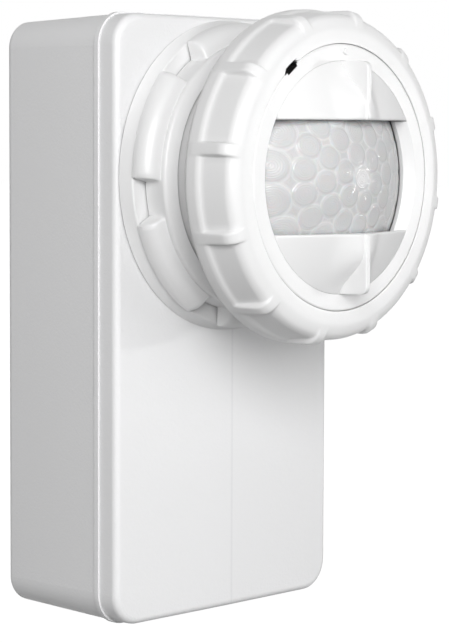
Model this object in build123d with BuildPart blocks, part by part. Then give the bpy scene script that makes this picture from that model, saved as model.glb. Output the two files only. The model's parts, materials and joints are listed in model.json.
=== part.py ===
from build123d import *

import os
from math import cos, pi, radians, sin, sqrt

# Occupancy sensor for a light fixture: a tall box that carries a round, sealed lens head on its front.
# The box hangs on a threaded nipple that passes through the wall of the fixture.
# The origin is on the nipple's axis, in the plane where the nipple's gasket meets the fixture.
# +X is the width, +Y runs out of the back along the nipple, +Z is up the box. Millimetres.

# Housing
housing_width = 60.0
housing_height = 114.0
housing_depth = 31.2
housing_corner = 6.0
housing_wall = 2.6
housing_draft = 2.0
back_wall = 2.5
back_edge_radius = 1.5
cover_depth = 5.8
cover_wall = 2.4
cover_edge_radius = 1.3
cover_ridge = 0.3
bead_width = 1.0
bead_height = 0.35
seal_width = 1.0
seal_height = 1.6
seal_clearance = 0.1

# Places on the housing
nipple_up = 30.0
head_down = 30.2
housing_screw_inset = 6.5

# Clearances
moving_gap = 0.3
fit_gap = 0.1
thread_gap = 0.05

# Nipple and what is on it
nipple_radius = 10.5
nipple_bore = 7.9
nipple_reach = 16.0
nipple_flange_radius = 14.0
nipple_flange_thickness = 3.0
nipple_lead_in = 0.8
gasket_radius = 15.0
gasket_thickness = 2.0
grip_space = 6.0
locknut_pitch = 1.814
locknut_turns = 3
washer_radius = 14.5
washer_thickness = 1.2
locknut_width = 27.0
locknut_thickness = 4.0
locknut_notch_width = 3.0
locknut_notch_depth = 1.4

# Screws
housing_screw_radius = 1.5
housing_screw_head_radius = 2.8
housing_screw_head_height = 1.8
housing_screw_recess = 2.2
housing_screw_tip_gap = 2.8
small_screw_radius = 1.0
small_screw_head_radius = 1.8
small_screw_head_height = 1.2
small_screw_length = 5.0
neck_screw_length = 4.4
screw_slot_share = 0.6
screw_slot_width = 0.6
boss_wall = 1.9
boss_overlap = 1.0

# Power board and the parts on it: across is a share of the board's width, drop is below the head's axis,
# and rise is above the middle of the box
board_thickness = 1.6
board_side_gap = 5.0
board_top_gap = 12.0
board_bottom_gap = 12.0
board_standoff = 7.5
board_screw_side = 4.0
board_screw_end = 4.0
board_cutout_gap = 0.5
transformer_width = 26.0
transformer_headroom = 2.2
transformer_stack = 9.0
transformer_yoke = 3.0
transformer_leg = 4.4
coil_swell = 4.2
coil_gap = 0.2
transformer_across = 0.2
transformer_drop = 29.3
relay_width = 15.5
relay_length = 19.5
relay_corner = 1.0
relay_headroom = 1.9
relay_across = -0.28
relay_rise = -2.5
filter_radius = 5.0
filter_headroom = 4.2
filter_groove = 0.4
filter_across = -0.33
filter_rise = 17.0
line_capacitor_width = 18.0
line_capacitor_thickness = 7.0
line_capacitor_height = 12.0
line_capacitor_across = 0.16
line_capacitor_drop = 8.8
varistor_radius = 5.0
varistor_thickness = 3.5
varistor_across = 0.37
varistor_z = -1.0
fuse_radius = 2.6
fuse_length = 11.0
fuse_across = -0.37
fuse_z = -1.0
blade_width = 6.3
blade_thickness = 0.8
blade_height = 8.0
blade_pitch = 9.5
blade_z = -14.5
pin_width = 0.64
pin_pitch = 2.54
pin_count = 4
pin_hole_radius = 0.5
pin_tail = 1.4
header_height = 2.5

# Head: distances ahead of the housing's front face, and radii about the head's axis
neck_flange_radius = 29.6
neck_flange_thickness = 2.6
neck_flange_edge = 0.5
neck_flange_slope = 1.0
neck_radius = 23.0
neck_bore = 20.6
neck_top = 21.5
neck_spigot_radius = 20.9
neck_ledge_bore = 17.2
neck_ledge_top = 4.0
neck_screw_circle_radius = 26.6
neck_screw_angles = (45.0, 135.0, 225.0, 315.0)
flange_seal_inner = 22.7
flange_seal_outer = 24.1
flange_seal_depth = 0.8

# Lock ring with its lugs
ring_core_radius = 25.6
ring_height = 5.9
ring_edge = 0.5
ring_turn = 30.0
ring_front_slope = 1.2
lug_root = 1.0
lug_count = 6
lug_angle = 46.0
lug_radius = 29.1
lug_height = 3.9
lug_rounding = 3.4
lug_phase = 39.0

# Sealed lens seat, which slides on the neck
seat_radius = 25.6
seat_thickness = 1.5
seat_skirt_wall = 1.4
seat_skirt_overlap = 1.5
seat_seal_inner = 21.2
seat_seal_outer = 22.6
seat_seal_depth = 1.0
seat_travel = 3.0
collar_turn = 180.0

# Front collar
collar_back = 17.5
collar_rim_radius = 31.1
collar_rim_width = 3.4
collar_band_radius = 30.3
collar_slope = 0.9
collar_soft = 1.4
collar_round = 1.1
collar_shoulder_drop = 1.24
collar_shoulder_round = 1.6
collar_nose_radius = 28.3
collar_nose_round = 3.6
collar_edge = 0.3
collar_lip_height = 11.1
collar_lip_gap = 0.25
collar_lip_thickness = 1.7
rib_count = 12
rib_phase = 20.0
rib_width = 2.4
rib_radius = 31.3
rib_inset = 0.9
rib_front_inset = 0.1
rib_root_depth = 3.3
rib_rounding = 0.9
rib_front_rounding = 2.6

# Lens head: bezel, lens and the two masks
bezel_radius = 24.6
bezel_flange_width = 1.1
bezel_opening = 21.5
bezel_edge = 0.4
bezel_chamfer = 1.6
bezel_chamfer_rest = 0.85
lens_base_radius = 21.2
lens_flange_radius = 24.0
lens_flange_thickness = 1.0
lens_wall = 1.0
lens_rise = 8.8
mask_gap = 10.5
mask_wall = 1.2
mask_fit = 0.05
mask_crown_radius = 43.0
mask_skirt = 2.8
fin_reach = 6.4
fin_half_foot = 0.85
fin_half_edge = 0.62
fin_foot_round = 2.0
fin_foot_lap = 0.12
fin_foot_bite = 0.05
fin_foot_inset = 0.3
fin_outer = 21.3
fin_corner = 1.4
pip_radius = 0.55
pip_height = 0.5
pip_circle_radius = 23.2
pip_angle = 89.0
notch_angle = 126.0
notch_length = 3.0
notch_width = 0.7
notch_depth = 1.4

# Sensor board and the parts on it
sensor_board_radius = 20.2
sensor_screw_circle_radius = 18.5
sensor_screw_angles = (45.0, 135.0, 270.0)
can_radius = 4.1
can_height = 4.2
can_flange_radius = 4.6
can_flange_thickness = 0.5
can_window_width = 4.6
can_window_height = 3.4
can_window_thickness = 0.4
trimmer_width = 6.5
trimmer_height = 3.5
dial_radius = 2.3
dial_height = 0.9
dial_sink = 0.7
dial_slot_width = 0.7
dial_slot_depth = 0.5
dial_turn = 135.0
switch_width = 11.4
switch_height = 6.2
switch_depth = 3.2
switch_pitch = 2.54
switch_count = 4
switch_slot_width = 1.6
switch_slot_height = 3.8
switch_slot_depth = 1.2
slider_height = 1.6
slider_rise = 0.6
led_radius = 1.5
led_height = 3.4
led_rim = 0.3
photocell_radius = 2.1
photocell_height = 1.9
switch_y = 10.2
link_y = 15.6
side_trimmer_x = 12.5
low_trimmer_y = -11.6
indicator_x = 9.6
indicator_y = -10.6


def polar(radius, angle):
    """A place on the head, from a radius and an angle counted from the right, upwards."""
    return (radius * cos(radians(angle)), radius * sin(radians(angle)))


# Places worked out from the sizes above
back_y = -gasket_thickness
front_y = back_y - housing_depth
parting_y = front_y + cover_depth
bottom_z = -nipple_up
top_z = housing_height - nipple_up
centre_z = (bottom_z + top_z) / 2
head_z = top_z - head_down
inner_back_y = back_y - back_wall
inner_front_y = front_y + cover_wall
board_y = inner_back_y - board_standoff
board_front_y = board_y - board_thickness
board_width = housing_width - 2 * board_side_gap
board_headroom = board_front_y - inner_front_y
board_bottom_z = bottom_z + board_bottom_gap
board_top_z = top_z - board_top_gap
screw_x = housing_width / 2 - housing_screw_inset
screw_places = [
    (side, z)
    for side in (-screw_x, screw_x)
    for z in (bottom_z + housing_screw_inset, top_z - housing_screw_inset)
]
board_screw_places = [
    (side, z)
    for side in (board_screw_side - board_width / 2, board_width / 2 - board_screw_side)
    for z in (board_bottom_z + board_screw_end, board_top_z - board_screw_end)
]
transformer_height = board_headroom - transformer_headroom
transformer_x = transformer_across * board_width
transformer_z = head_z - transformer_drop
relay_x = relay_across * board_width
relay_z = centre_z + relay_rise
filter_x = filter_across * board_width
filter_z = centre_z + filter_rise
line_capacitor_x = line_capacitor_across * board_width
line_capacitor_z = head_z - line_capacitor_drop
varistor_x = varistor_across * board_width
fuse_x = fuse_across * board_width
boss_radius = housing_screw_radius + boss_wall
boss_joint_y = inner_front_y + (inner_back_y - inner_front_y) / 2
link_places = [((index - (pin_count - 1) / 2) * pin_pitch, link_y) for index in range(pin_count)]

ring_base = neck_flange_thickness + moving_gap
seat_base = neck_top + moving_gap
seat_top = seat_base + seat_thickness
lens_base = seat_top + moving_gap
collar_lip = collar_back + collar_lip_height
bezel_face = collar_lip
bezel_flange_top = collar_lip - collar_lip_thickness - moving_gap
lens_radius = (lens_base_radius**2 + lens_rise**2) / (2 * lens_rise)
lens_centre = lens_base + lens_flange_thickness + lens_rise - lens_radius
mask_radius = bezel_opening - mask_fit
mask_centre = bezel_face - sqrt(mask_crown_radius**2 - mask_radius**2)
fin_ridge = bezel_face + fin_reach
board_ahead = neck_ledge_top
sensor_face = board_ahead + board_thickness
switch_face = sensor_face + switch_depth
skirt_radius = neck_bore - moving_gap
bezel_flange_radius = bezel_radius + bezel_flange_width
collar_lip_radius = bezel_radius + collar_lip_gap
collar_bore = bezel_flange_radius + moving_gap
slider_travel = switch_slot_height - slider_height - 2 * fit_gap
locknut_travel = locknut_pitch * locknut_turns
low_corner = (Align.MIN, Align.MIN)
neck_screw_places = [polar(neck_screw_circle_radius, angle) for angle in neck_screw_angles]
sensor_screw_places = [polar(sensor_screw_circle_radius, angle) for angle in sensor_screw_angles]
slider_places = [(index - (switch_count - 1) / 2) * switch_pitch for index in range(switch_count)]
trimmer_places = {
    "delay_dial": (-side_trimmer_x, 0),
    "reach_dial": (side_trimmer_x, 0),
    "light_dial": (0, low_trimmer_y),
}


def facing(y, x=0.0, z=0.0):
    """A plane square to the depth that faces forward, with its X axis along +X and its Y axis up."""
    return Plane(origin=(x, y, z), x_dir=(1, 0, 0), z_dir=(0, -1, 0))


def facing_back(y, x=0.0, z=0.0):
    """A plane square to the depth that faces back, with its Y axis up."""
    return Plane(origin=(x, y, z), x_dir=(-1, 0, 0), z_dir=(0, 1, 0))


def head_plane(ahead):
    """A plane across the head's axis, this far ahead of the housing's front face."""
    return facing(front_y - ahead, 0.0, head_z)


def head_section_at(angle):
    """A plane that holds the head's axis: its X axis points out at this angle, its Y axis ahead."""
    across = cos(radians(angle))
    up = sin(radians(angle))
    return Plane(origin=(0, front_y, head_z), x_dir=(across, 0, up), z_dir=(up, 0, -across))


head_section = head_section_at(0)
head_axis = Axis((0, front_y, head_z), (0, -1, 0))
nipple_section = Plane(origin=(0, 0, 0), x_dir=(1, 0, 0), z_dir=(0, 0, 1))
nipple_axis = Axis((0, 0, 0), (0, 1, 0))


def head_disc(radius, depth, x, y, ahead, mode=Mode.ADD):
    """A round boss or hole that starts on a plane across the head, for use inside a sub-part."""
    with BuildSketch(head_plane(ahead)) as outline:
        with Locations((x, y)):
            Circle(radius)
    extrude(outline.sketch, amount=depth, mode=mode)


def turned(corners, start=0.0, sweep=360.0):
    """A ring about the head's axis. Each corner of its section is a radius, a distance and a rounding."""
    with BuildSketch(head_section_at(start)) as section:
        with BuildLine():
            FilletPolyline(
                *[(radius, ahead) for radius, ahead, rounding in corners],
                radius=[rounding for radius, ahead, rounding in corners],
                close=True,
            )
        make_face()
    revolve(section.sketch, axis=head_axis, revolution_arc=sweep)


def cross_screw(plane, head_radius, head_height, shank_radius, length):
    """A screw with a cross recess: the plane is under its head, and it runs back from there."""
    with BuildSketch(plane) as head:
        Circle(head_radius)
    extrude(head.sketch, amount=head_height)
    with BuildSketch(plane) as shank:
        Circle(shank_radius)
    extrude(shank.sketch, amount=-length)
    with BuildSketch(plane.offset(head_height)) as cross:
        Rectangle(2 * head_radius * screw_slot_share, screw_slot_width)
        Rectangle(screw_slot_width, 2 * head_radius * screw_slot_share)
    extrude(cross.sketch, amount=-head_height / 2, mode=Mode.SUBTRACT)


os.makedirs("parts", exist_ok=True)


# Rear housing: a deep tray with a drafted wall, screw tubes, board posts and the nipple's hole
with BuildPart() as rear_housing:
    with BuildSketch(facing_back(parting_y, 0, centre_z)):
        RectangleRounded(housing_width, housing_height, housing_corner)
    extrude(amount=back_y - parting_y, taper=housing_draft)
    fillet(rear_housing.faces().sort_by(Axis.Y)[-1].edges(), back_edge_radius)
    with BuildSketch(facing_back(parting_y, 0, centre_z)):
        RectangleRounded(
            housing_width - 2 * housing_wall,
            housing_height - 2 * housing_wall,
            housing_corner - housing_wall,
        )
    extrude(amount=inner_back_y - parting_y, taper=housing_draft, mode=Mode.SUBTRACT)
    for x, z in screw_places:
        with BuildSketch(facing(inner_back_y + boss_overlap, x, z)):
            Circle(boss_radius)
        extrude(amount=inner_back_y + boss_overlap - boss_joint_y)
        with BuildSketch(facing(back_y, x, z)):
            Circle(housing_screw_radius + fit_gap)
        extrude(amount=back_y - boss_joint_y, mode=Mode.SUBTRACT)
        with BuildSketch(facing(back_y, x, z)):
            Circle(housing_screw_head_radius + fit_gap)
        extrude(amount=housing_screw_recess, mode=Mode.SUBTRACT)
    for x, z in board_screw_places:
        with BuildSketch(facing(inner_back_y + boss_overlap, x, z)):
            Circle(small_screw_radius + boss_wall)
        extrude(amount=inner_back_y + boss_overlap - board_y)
        with BuildSketch(facing(board_y, x, z)):
            Circle(small_screw_radius + thread_gap)
        extrude(amount=-small_screw_length, mode=Mode.SUBTRACT)
    with BuildSketch(facing(back_y)):
        Circle(nipple_radius + fit_gap)
    extrude(amount=back_wall, mode=Mode.SUBTRACT)
    with BuildSketch(facing_back(parting_y, 0, centre_z)):
        seal_outer = housing_wall / 2 - seal_width / 2 - seal_clearance
        seal_inner = housing_wall / 2 + seal_width / 2 + seal_clearance
        RectangleRounded(
            housing_width - 2 * seal_outer,
            housing_height - 2 * seal_outer,
            housing_corner - seal_outer,
        )
        RectangleRounded(
            housing_width - 2 * seal_inner,
            housing_height - 2 * seal_inner,
            housing_corner - seal_inner,
            mode=Mode.SUBTRACT,
        )
    extrude(amount=seal_height / 2 + seal_clearance, mode=Mode.SUBTRACT)
rear_housing.part.label = "rear_housing"


# Front cover: a shallow tray whose face has a faint upright ridge, with a bead round its rear edge
with BuildPart() as front_cover:
    with BuildSketch(facing(parting_y, 0, centre_z)):
        RectangleRounded(housing_width, housing_height, housing_corner)
    extrude(amount=cover_depth)
    with BuildSketch(Plane.XY.offset(bottom_z)):
        with BuildLine():
            Polyline(
                (-housing_width, parting_y),
                (-housing_width, front_y + 2 * cover_ridge),
                (0, front_y),
                (housing_width, front_y + 2 * cover_ridge),
                (housing_width, parting_y),
                close=True,
            )
        make_face()
    extrude(amount=housing_height, mode=Mode.INTERSECT)
    front_edges = [
        edge
        for edge in front_cover.edges()
        if edge.center().Y < front_y + 2 * cover_ridge
        and (abs(edge.center().X) > fit_gap or abs(edge.center().Z - centre_z) > fit_gap)
    ]
    fillet(front_edges, cover_edge_radius)
    with BuildSketch(facing(parting_y, 0, centre_z)):
        RectangleRounded(
            housing_width + 2 * bead_height,
            housing_height + 2 * bead_height,
            housing_corner + bead_height,
        )
        RectangleRounded(
            housing_width - housing_wall,
            housing_height - housing_wall,
            housing_corner - housing_wall / 2,
            mode=Mode.SUBTRACT,
        )
    extrude(amount=bead_width)
    with BuildSketch(facing(parting_y, 0, centre_z)):
        RectangleRounded(
            housing_width - 2 * housing_wall,
            housing_height - 2 * housing_wall,
            housing_corner - housing_wall,
        )
    extrude(amount=cover_depth - cover_wall, mode=Mode.SUBTRACT)
    for x, z in screw_places:
        with BuildSketch(facing(boss_joint_y, x, z)):
            Circle(boss_radius)
        extrude(amount=boss_joint_y - inner_front_y + boss_overlap)
        with BuildSketch(facing(boss_joint_y, x, z)):
            Circle(housing_screw_radius + thread_gap)
        extrude(amount=boss_joint_y - inner_front_y, mode=Mode.SUBTRACT)
    with BuildSketch(facing(parting_y, 0, centre_z)):
        RectangleRounded(
            housing_width - 2 * seal_outer,
            housing_height - 2 * seal_outer,
            housing_corner - seal_outer,
        )
        RectangleRounded(
            housing_width - 2 * seal_inner,
            housing_height - 2 * seal_inner,
            housing_corner - seal_inner,
            mode=Mode.SUBTRACT,
        )
    extrude(amount=seal_height / 2 + seal_clearance, mode=Mode.SUBTRACT)
    head_disc(neck_spigot_radius + fit_gap, 2 * cover_depth, 0, 0, -cover_depth, Mode.SUBTRACT)
    with BuildSketch(head_plane(-flange_seal_depth)):
        Circle(flange_seal_outer + seal_clearance)
        Circle(flange_seal_inner - seal_clearance, mode=Mode.SUBTRACT)
    extrude(amount=2 * flange_seal_depth, mode=Mode.SUBTRACT)
    for x, y in neck_screw_places:
        head_disc(small_screw_radius + fit_gap, 2 * cover_depth, x, y, -cover_depth, Mode.SUBTRACT)
front_cover.part.label = "front_cover"


# Seal in the grooves of the two housing halves
with BuildPart() as housing_seal:
    with BuildSketch(facing(parting_y + seal_height / 2, 0, centre_z)):
        seal_line = housing_wall / 2 - seal_width / 2
        RectangleRounded(
            housing_width - 2 * seal_line,
            housing_height - 2 * seal_line,
            housing_corner - seal_line,
        )
        RectangleRounded(
            housing_width - 2 * (seal_line + seal_width),
            housing_height - 2 * (seal_line + seal_width),
            housing_corner - seal_line - seal_width,
            mode=Mode.SUBTRACT,
        )
    extrude(amount=seal_height)
housing_seal.part.label = "housing_seal"


# Four long screws that close the housing from behind
with BuildPart() as housing_screws:
    for x, z in screw_places:
        cross_screw(
            facing_back(back_y - housing_screw_recess, x, z),
            housing_screw_head_radius,
            housing_screw_head_height,
            housing_screw_radius,
            back_y - housing_screw_recess - inner_front_y - housing_screw_tip_gap,
        )
housing_screws.part.label = "housing_screws"


# Threaded nipple: its flange lies inside the housing and its tube runs out of the back
with BuildPart() as threaded_nipple:
    with BuildSketch(nipple_section):
        with BuildLine():
            Polyline(
                (nipple_bore, inner_back_y - nipple_flange_thickness),
                (nipple_flange_radius, inner_back_y - nipple_flange_thickness),
                (nipple_flange_radius, inner_back_y),
                (nipple_radius, inner_back_y),
                (nipple_radius, nipple_reach - nipple_lead_in),
                (nipple_radius - nipple_lead_in, nipple_reach),
                (nipple_bore, nipple_reach),
                close=True,
            )
        make_face()
    revolve(axis=nipple_axis)
threaded_nipple.part.label = "threaded_nipple"


# Gasket between the housing and the fixture
with BuildPart() as nipple_gasket:
    with BuildSketch(facing_back(back_y)):
        Circle(gasket_radius)
        Circle(nipple_radius + fit_gap, mode=Mode.SUBTRACT)
    extrude(amount=gasket_thickness)
nipple_gasket.part.label = "nipple_gasket"


# Washer on the nipple, behind the fixture's wall
with BuildPart() as nipple_washer:
    with BuildSketch(facing_back(grip_space)):
        Circle(washer_radius)
        Circle(nipple_radius + fit_gap, mode=Mode.SUBTRACT)
    extrude(amount=washer_thickness)
nipple_washer.part.label = "nipple_washer"


# Locknut: a hexagon with a notch in each flat for a driver's blade
with BuildPart() as locknut:
    locknut_y = grip_space + washer_thickness + moving_gap
    with BuildSketch(facing_back(locknut_y)):
        RegularPolygon(locknut_width / 2, 6, major_radius=False)
        Circle(nipple_radius + fit_gap, mode=Mode.SUBTRACT)
        with PolarLocations(locknut_width / 2, 6, start_angle=30):
            Rectangle(2 * locknut_notch_depth, locknut_notch_width, mode=Mode.SUBTRACT)
    extrude(amount=locknut_thickness)
locknut.part.label = "locknut"


# Power board, with a round cut-out that lets the supply leads in from the nipple
with BuildPart() as power_board:
    with BuildSketch(facing(board_y, 0, (board_bottom_z + board_top_z) / 2)):
        Rectangle(board_width, board_top_z - board_bottom_z)
    extrude(amount=board_thickness)
    with BuildSketch(facing(board_y)):
        Circle(nipple_radius + board_cutout_gap)
    extrude(amount=board_thickness, mode=Mode.SUBTRACT)
    with BuildSketch(facing(board_y)):
        with Locations(*board_screw_places):
            Circle(small_screw_radius + fit_gap)
        with Locations(*[(x, head_z + y) for x, y in link_places]):
            Circle(pin_hole_radius)
    extrude(amount=board_thickness, mode=Mode.SUBTRACT)
power_board.part.label = "power_board"


# Four screws that hold the power board
with BuildPart() as power_board_screws:
    for x, z in board_screw_places:
        cross_screw(
            facing(board_front_y, x, z),
            small_screw_head_radius,
            small_screw_head_height,
            small_screw_radius,
            small_screw_length,
        )
power_board_screws.part.label = "power_board_screws"


# Transformer core: an upright frame with two windows, on either side of its middle leg
with BuildPart() as transformer_core:
    with BuildSketch(facing(board_front_y, transformer_x, transformer_z)):
        Rectangle(transformer_width, transformer_stack)
    extrude(amount=transformer_height)
    window_width = transformer_width / 2 - transformer_yoke - transformer_leg
    window_height = transformer_height - 2 * transformer_yoke
    window_x = transformer_leg + window_width / 2
    window_y = board_front_y - transformer_yoke
    with BuildSketch(facing(window_y, transformer_x, transformer_z)):
        with Locations((-window_x, 0), (window_x, 0)):
            Rectangle(window_width, transformer_stack)
    extrude(amount=window_height, mode=Mode.SUBTRACT)
transformer_core.part.label = "transformer_core"


# Transformer coil, wound round the middle leg
with BuildPart() as transformer_coil:
    with BuildSketch(facing(window_y - coil_gap, transformer_x, transformer_z)):
        RectangleRounded(
            2 * (transformer_leg + coil_swell),
            transformer_stack + 2 * coil_swell,
            coil_swell / 2,
        )
        Rectangle(
            2 * (transformer_leg + coil_gap),
            transformer_stack + 2 * coil_gap,
            mode=Mode.SUBTRACT,
        )
    extrude(amount=window_height - 2 * coil_gap)
transformer_coil.part.label = "transformer_coil"


# Relay that switches the load
with BuildPart() as relay:
    with BuildSketch(facing(board_front_y, relay_x, relay_z)):
        Rectangle(relay_width, relay_length)
    extrude(amount=board_headroom - relay_headroom)
    fillet(relay.edges().filter_by(Axis.Y), relay_corner)
relay.part.label = "relay"


# Round filter capacitor with the groove that is rolled into its can
with BuildPart() as filter_capacitor:
    filter_plane = facing(board_front_y, filter_x, filter_z)
    with BuildSketch(filter_plane):
        Circle(filter_radius)
    extrude(amount=board_headroom - filter_headroom)
    with BuildSketch(filter_plane.offset(3 * filter_groove)):
        Circle(filter_radius + filter_groove)
        Circle(filter_radius - filter_groove, mode=Mode.SUBTRACT)
    extrude(amount=2 * filter_groove, mode=Mode.SUBTRACT)
filter_capacitor.part.label = "filter_capacitor"


# Line capacitor, a flat block on edge
with BuildPart() as line_capacitor:
    with BuildSketch(facing(board_front_y, line_capacitor_x, line_capacitor_z)):
        Rectangle(line_capacitor_width, line_capacitor_thickness)
    extrude(amount=line_capacitor_height)
line_capacitor.part.label = "line_capacitor"


# Surge absorber: an upright disc whose lower side is flat on the board
with BuildPart() as varistor:
    varistor_y = board_front_y - varistor_radius
    with BuildSketch(Plane.YZ.offset(varistor_x - varistor_thickness / 2)):
        with Locations((varistor_y, varistor_z)):
            Circle(varistor_radius)
    extrude(amount=varistor_thickness)
varistor.part.label = "varistor"


# Fuse, lying along the board
with BuildPart() as fuse:
    with BuildSketch(Plane.XY.offset(fuse_z - fuse_length / 2)):
        with Locations((fuse_x, board_front_y - fuse_radius)):
            Circle(fuse_radius)
    extrude(amount=fuse_length)
fuse.part.label = "fuse"


# Three blades for the supply and load leads
with BuildPart() as lead_terminals:
    with BuildSketch(facing(board_front_y)):
        with Locations((-blade_pitch, blade_z), (0, blade_z), (blade_pitch, blade_z)):
            Rectangle(blade_width, blade_thickness)
    extrude(amount=blade_height)
lead_terminals.part.label = "lead_terminals"


# Header strip at the foot of the link pins
with BuildPart() as link_header:
    with BuildSketch(facing(board_front_y, 0, head_z)):
        with Locations((0, link_y)):
            Rectangle(pin_count * pin_pitch, pin_pitch)
        with Locations(*link_places):
            Rectangle(pin_width + fit_gap, pin_width + fit_gap, mode=Mode.SUBTRACT)
    extrude(amount=header_height)
link_header.part.label = "link_header"


# Long pins that join the power board to the sensor board
with BuildPart() as link_pins:
    link_start = board_y + pin_tail
    link_end = front_y - sensor_face - pin_tail
    with BuildSketch(facing(link_start, 0, head_z)):
        with Locations(*link_places):
            Rectangle(pin_width, pin_width)
    extrude(amount=link_start - link_end)
link_pins.part.label = "link_pins"


# Neck tube: a flange on the housing's face, a spigot in its opening and a ledge for the sensor board
with BuildPart() as neck_tube:
    turned(
        [
            (neck_ledge_bore, -cover_wall, 0),
            (neck_spigot_radius, -cover_wall, 0),
            (neck_spigot_radius, 0, 0),
            (neck_flange_radius, 0, 0),
            (neck_flange_radius - neck_flange_slope, neck_flange_thickness, neck_flange_edge),
            (neck_radius, neck_flange_thickness, 0),
            (neck_radius, neck_top, neck_flange_edge),
            (neck_bore, neck_top, neck_flange_edge),
            (neck_bore, neck_ledge_top, 0),
            (neck_ledge_bore, neck_ledge_top, 0),
        ]
    )
    for x, y in neck_screw_places:
        hole_depth = neck_screw_length - cover_wall + fit_gap
        head_disc(small_screw_radius + thread_gap, hole_depth, x, y, 0, Mode.SUBTRACT)
    for x, y in sensor_screw_places:
        hole_depth = small_screw_length - board_thickness + fit_gap
        hole_start = neck_ledge_top - hole_depth
        head_disc(small_screw_radius + thread_gap, hole_depth, x, y, hole_start, Mode.SUBTRACT)
neck_tube.part.label = "neck_tube"


# Seal under the neck's flange
with BuildPart() as flange_seal:
    with BuildSketch(head_plane(-flange_seal_depth)):
        Circle(flange_seal_outer)
        Circle(flange_seal_inner, mode=Mode.SUBTRACT)
    extrude(amount=flange_seal_depth)
flange_seal.part.label = "flange_seal"


# Four screws that hold the neck from inside the cover
with BuildPart() as neck_screws:
    for x, y in neck_screw_places:
        cross_screw(
            facing_back(inner_front_y, x, head_z + y),
            small_screw_head_radius,
            small_screw_head_height,
            small_screw_radius,
            neck_screw_length,
        )
neck_screws.part.label = "neck_screws"


# Lock ring: it turns on the neck, and its six rounded lugs are what a hand grips
with BuildPart() as lock_ring:
    ring_bore = neck_radius + moving_gap
    turned(
        [
            (ring_bore, ring_base, 0),
            (ring_core_radius, ring_base, 0),
            (ring_core_radius, ring_base + ring_height - ring_front_slope, ring_edge),
            (ring_bore, ring_base + ring_height, 0),
        ]
    )
    for index in range(lug_count):
        turned(
            [
                (ring_bore + lug_root, ring_base, 0),
                (lug_radius, ring_base, 0),
                (lug_radius, ring_base + lug_height, lug_rounding),
                (ring_bore + lug_root, ring_base + lug_height, 0),
            ],
            start=lug_phase - lug_angle / 2 + index * 360 / lug_count,
            sweep=lug_angle,
        )
lock_ring.part.label = "lock_ring"


# Lens seat: a flanged ring that slides in the neck and carries its seal underneath
with BuildPart() as lens_seat:
    skirt_end = seat_base - seat_travel - seat_skirt_overlap
    turned(
        [
            (skirt_radius - seat_skirt_wall, skirt_end, 0),
            (skirt_radius, skirt_end, 0),
            (skirt_radius, seat_base, 0),
            (seat_radius, seat_base, 0),
            (seat_radius, seat_top, 0),
            (skirt_radius - seat_skirt_wall, seat_top, 0),
        ]
    )
    with BuildSketch(head_plane(seat_base)):
        Circle(seat_seal_outer)
        Circle(seat_seal_inner, mode=Mode.SUBTRACT)
    extrude(amount=seat_seal_depth, mode=Mode.SUBTRACT)
lens_seat.part.label = "lens_seat"


# Seal ring in the seat's groove
with BuildPart() as seat_seal:
    with BuildSketch(head_plane(seat_base)):
        Circle(seat_seal_outer)
        Circle(seat_seal_inner, mode=Mode.SUBTRACT)
    extrude(amount=seat_seal_depth)
seat_seal.part.label = "seat_seal"


# Front collar: a thick rim behind a lower band that rounds off to the front, crossed by grip ribs
with BuildPart() as front_collar:
    collar_inner = neck_radius + moving_gap
    rim_end = collar_back + collar_rim_width
    shelf = seat_base - moving_gap
    lip_underside = collar_lip - collar_lip_thickness
    turned(
        [
            (collar_inner, collar_back, collar_edge),
            (collar_rim_radius, collar_back, collar_round),
            (collar_rim_radius, rim_end, collar_soft),
            (collar_band_radius, rim_end + collar_slope, collar_soft),
            (collar_band_radius, collar_lip - collar_shoulder_drop, collar_shoulder_round),
            (collar_nose_radius, collar_lip, collar_nose_round),
            (collar_lip_radius, collar_lip, 0),
            (collar_lip_radius, lip_underside, 0),
            (collar_bore, lip_underside, 0),
            (collar_bore, shelf, 0),
            (collar_inner, shelf, 0),
        ]
    )
    rib_back = collar_back + rib_inset
    rib_front = collar_lip - rib_front_inset
    rib_root = collar_band_radius - rib_root_depth
    for index in range(rib_count):
        with BuildSketch(head_section_at(rib_phase + index * 360 / rib_count)):
            with BuildLine():
                FilletPolyline(
                    (rib_root, rib_back),
                    (rib_radius, rib_back),
                    (rib_radius, rib_front),
                    (rib_root, rib_front),
                    radius=[0, rib_rounding, rib_front_rounding, 0],
                    close=True,
                )
            make_face()
        extrude(amount=rib_width / 2, both=True)
front_collar.part.label = "front_collar"


def bezel_flanks():
    """The two slanted walls that lead from the bezel's face down to the lens, between the masks."""
    flank_radius = bezel_opening - bezel_chamfer
    flank_foot = bezel_face - bezel_chamfer - bezel_chamfer_rest
    with BuildPart() as flanks:
        turned(
            [
                (flank_radius, flank_foot, 0),
                ((bezel_opening + bezel_radius) / 2, flank_foot, 0),
                ((bezel_opening + bezel_radius) / 2, bezel_face, 0),
                (bezel_opening, bezel_face, 0),
                (flank_radius, bezel_face - bezel_chamfer, 0),
            ]
        )
        with BuildSketch(head_plane(flank_foot)):
            Rectangle(2 * bezel_radius, 2 * (mask_gap - mask_fit))
        extrude(amount=bezel_face - flank_foot, mode=Mode.INTERSECT)
    return flanks.part


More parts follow.
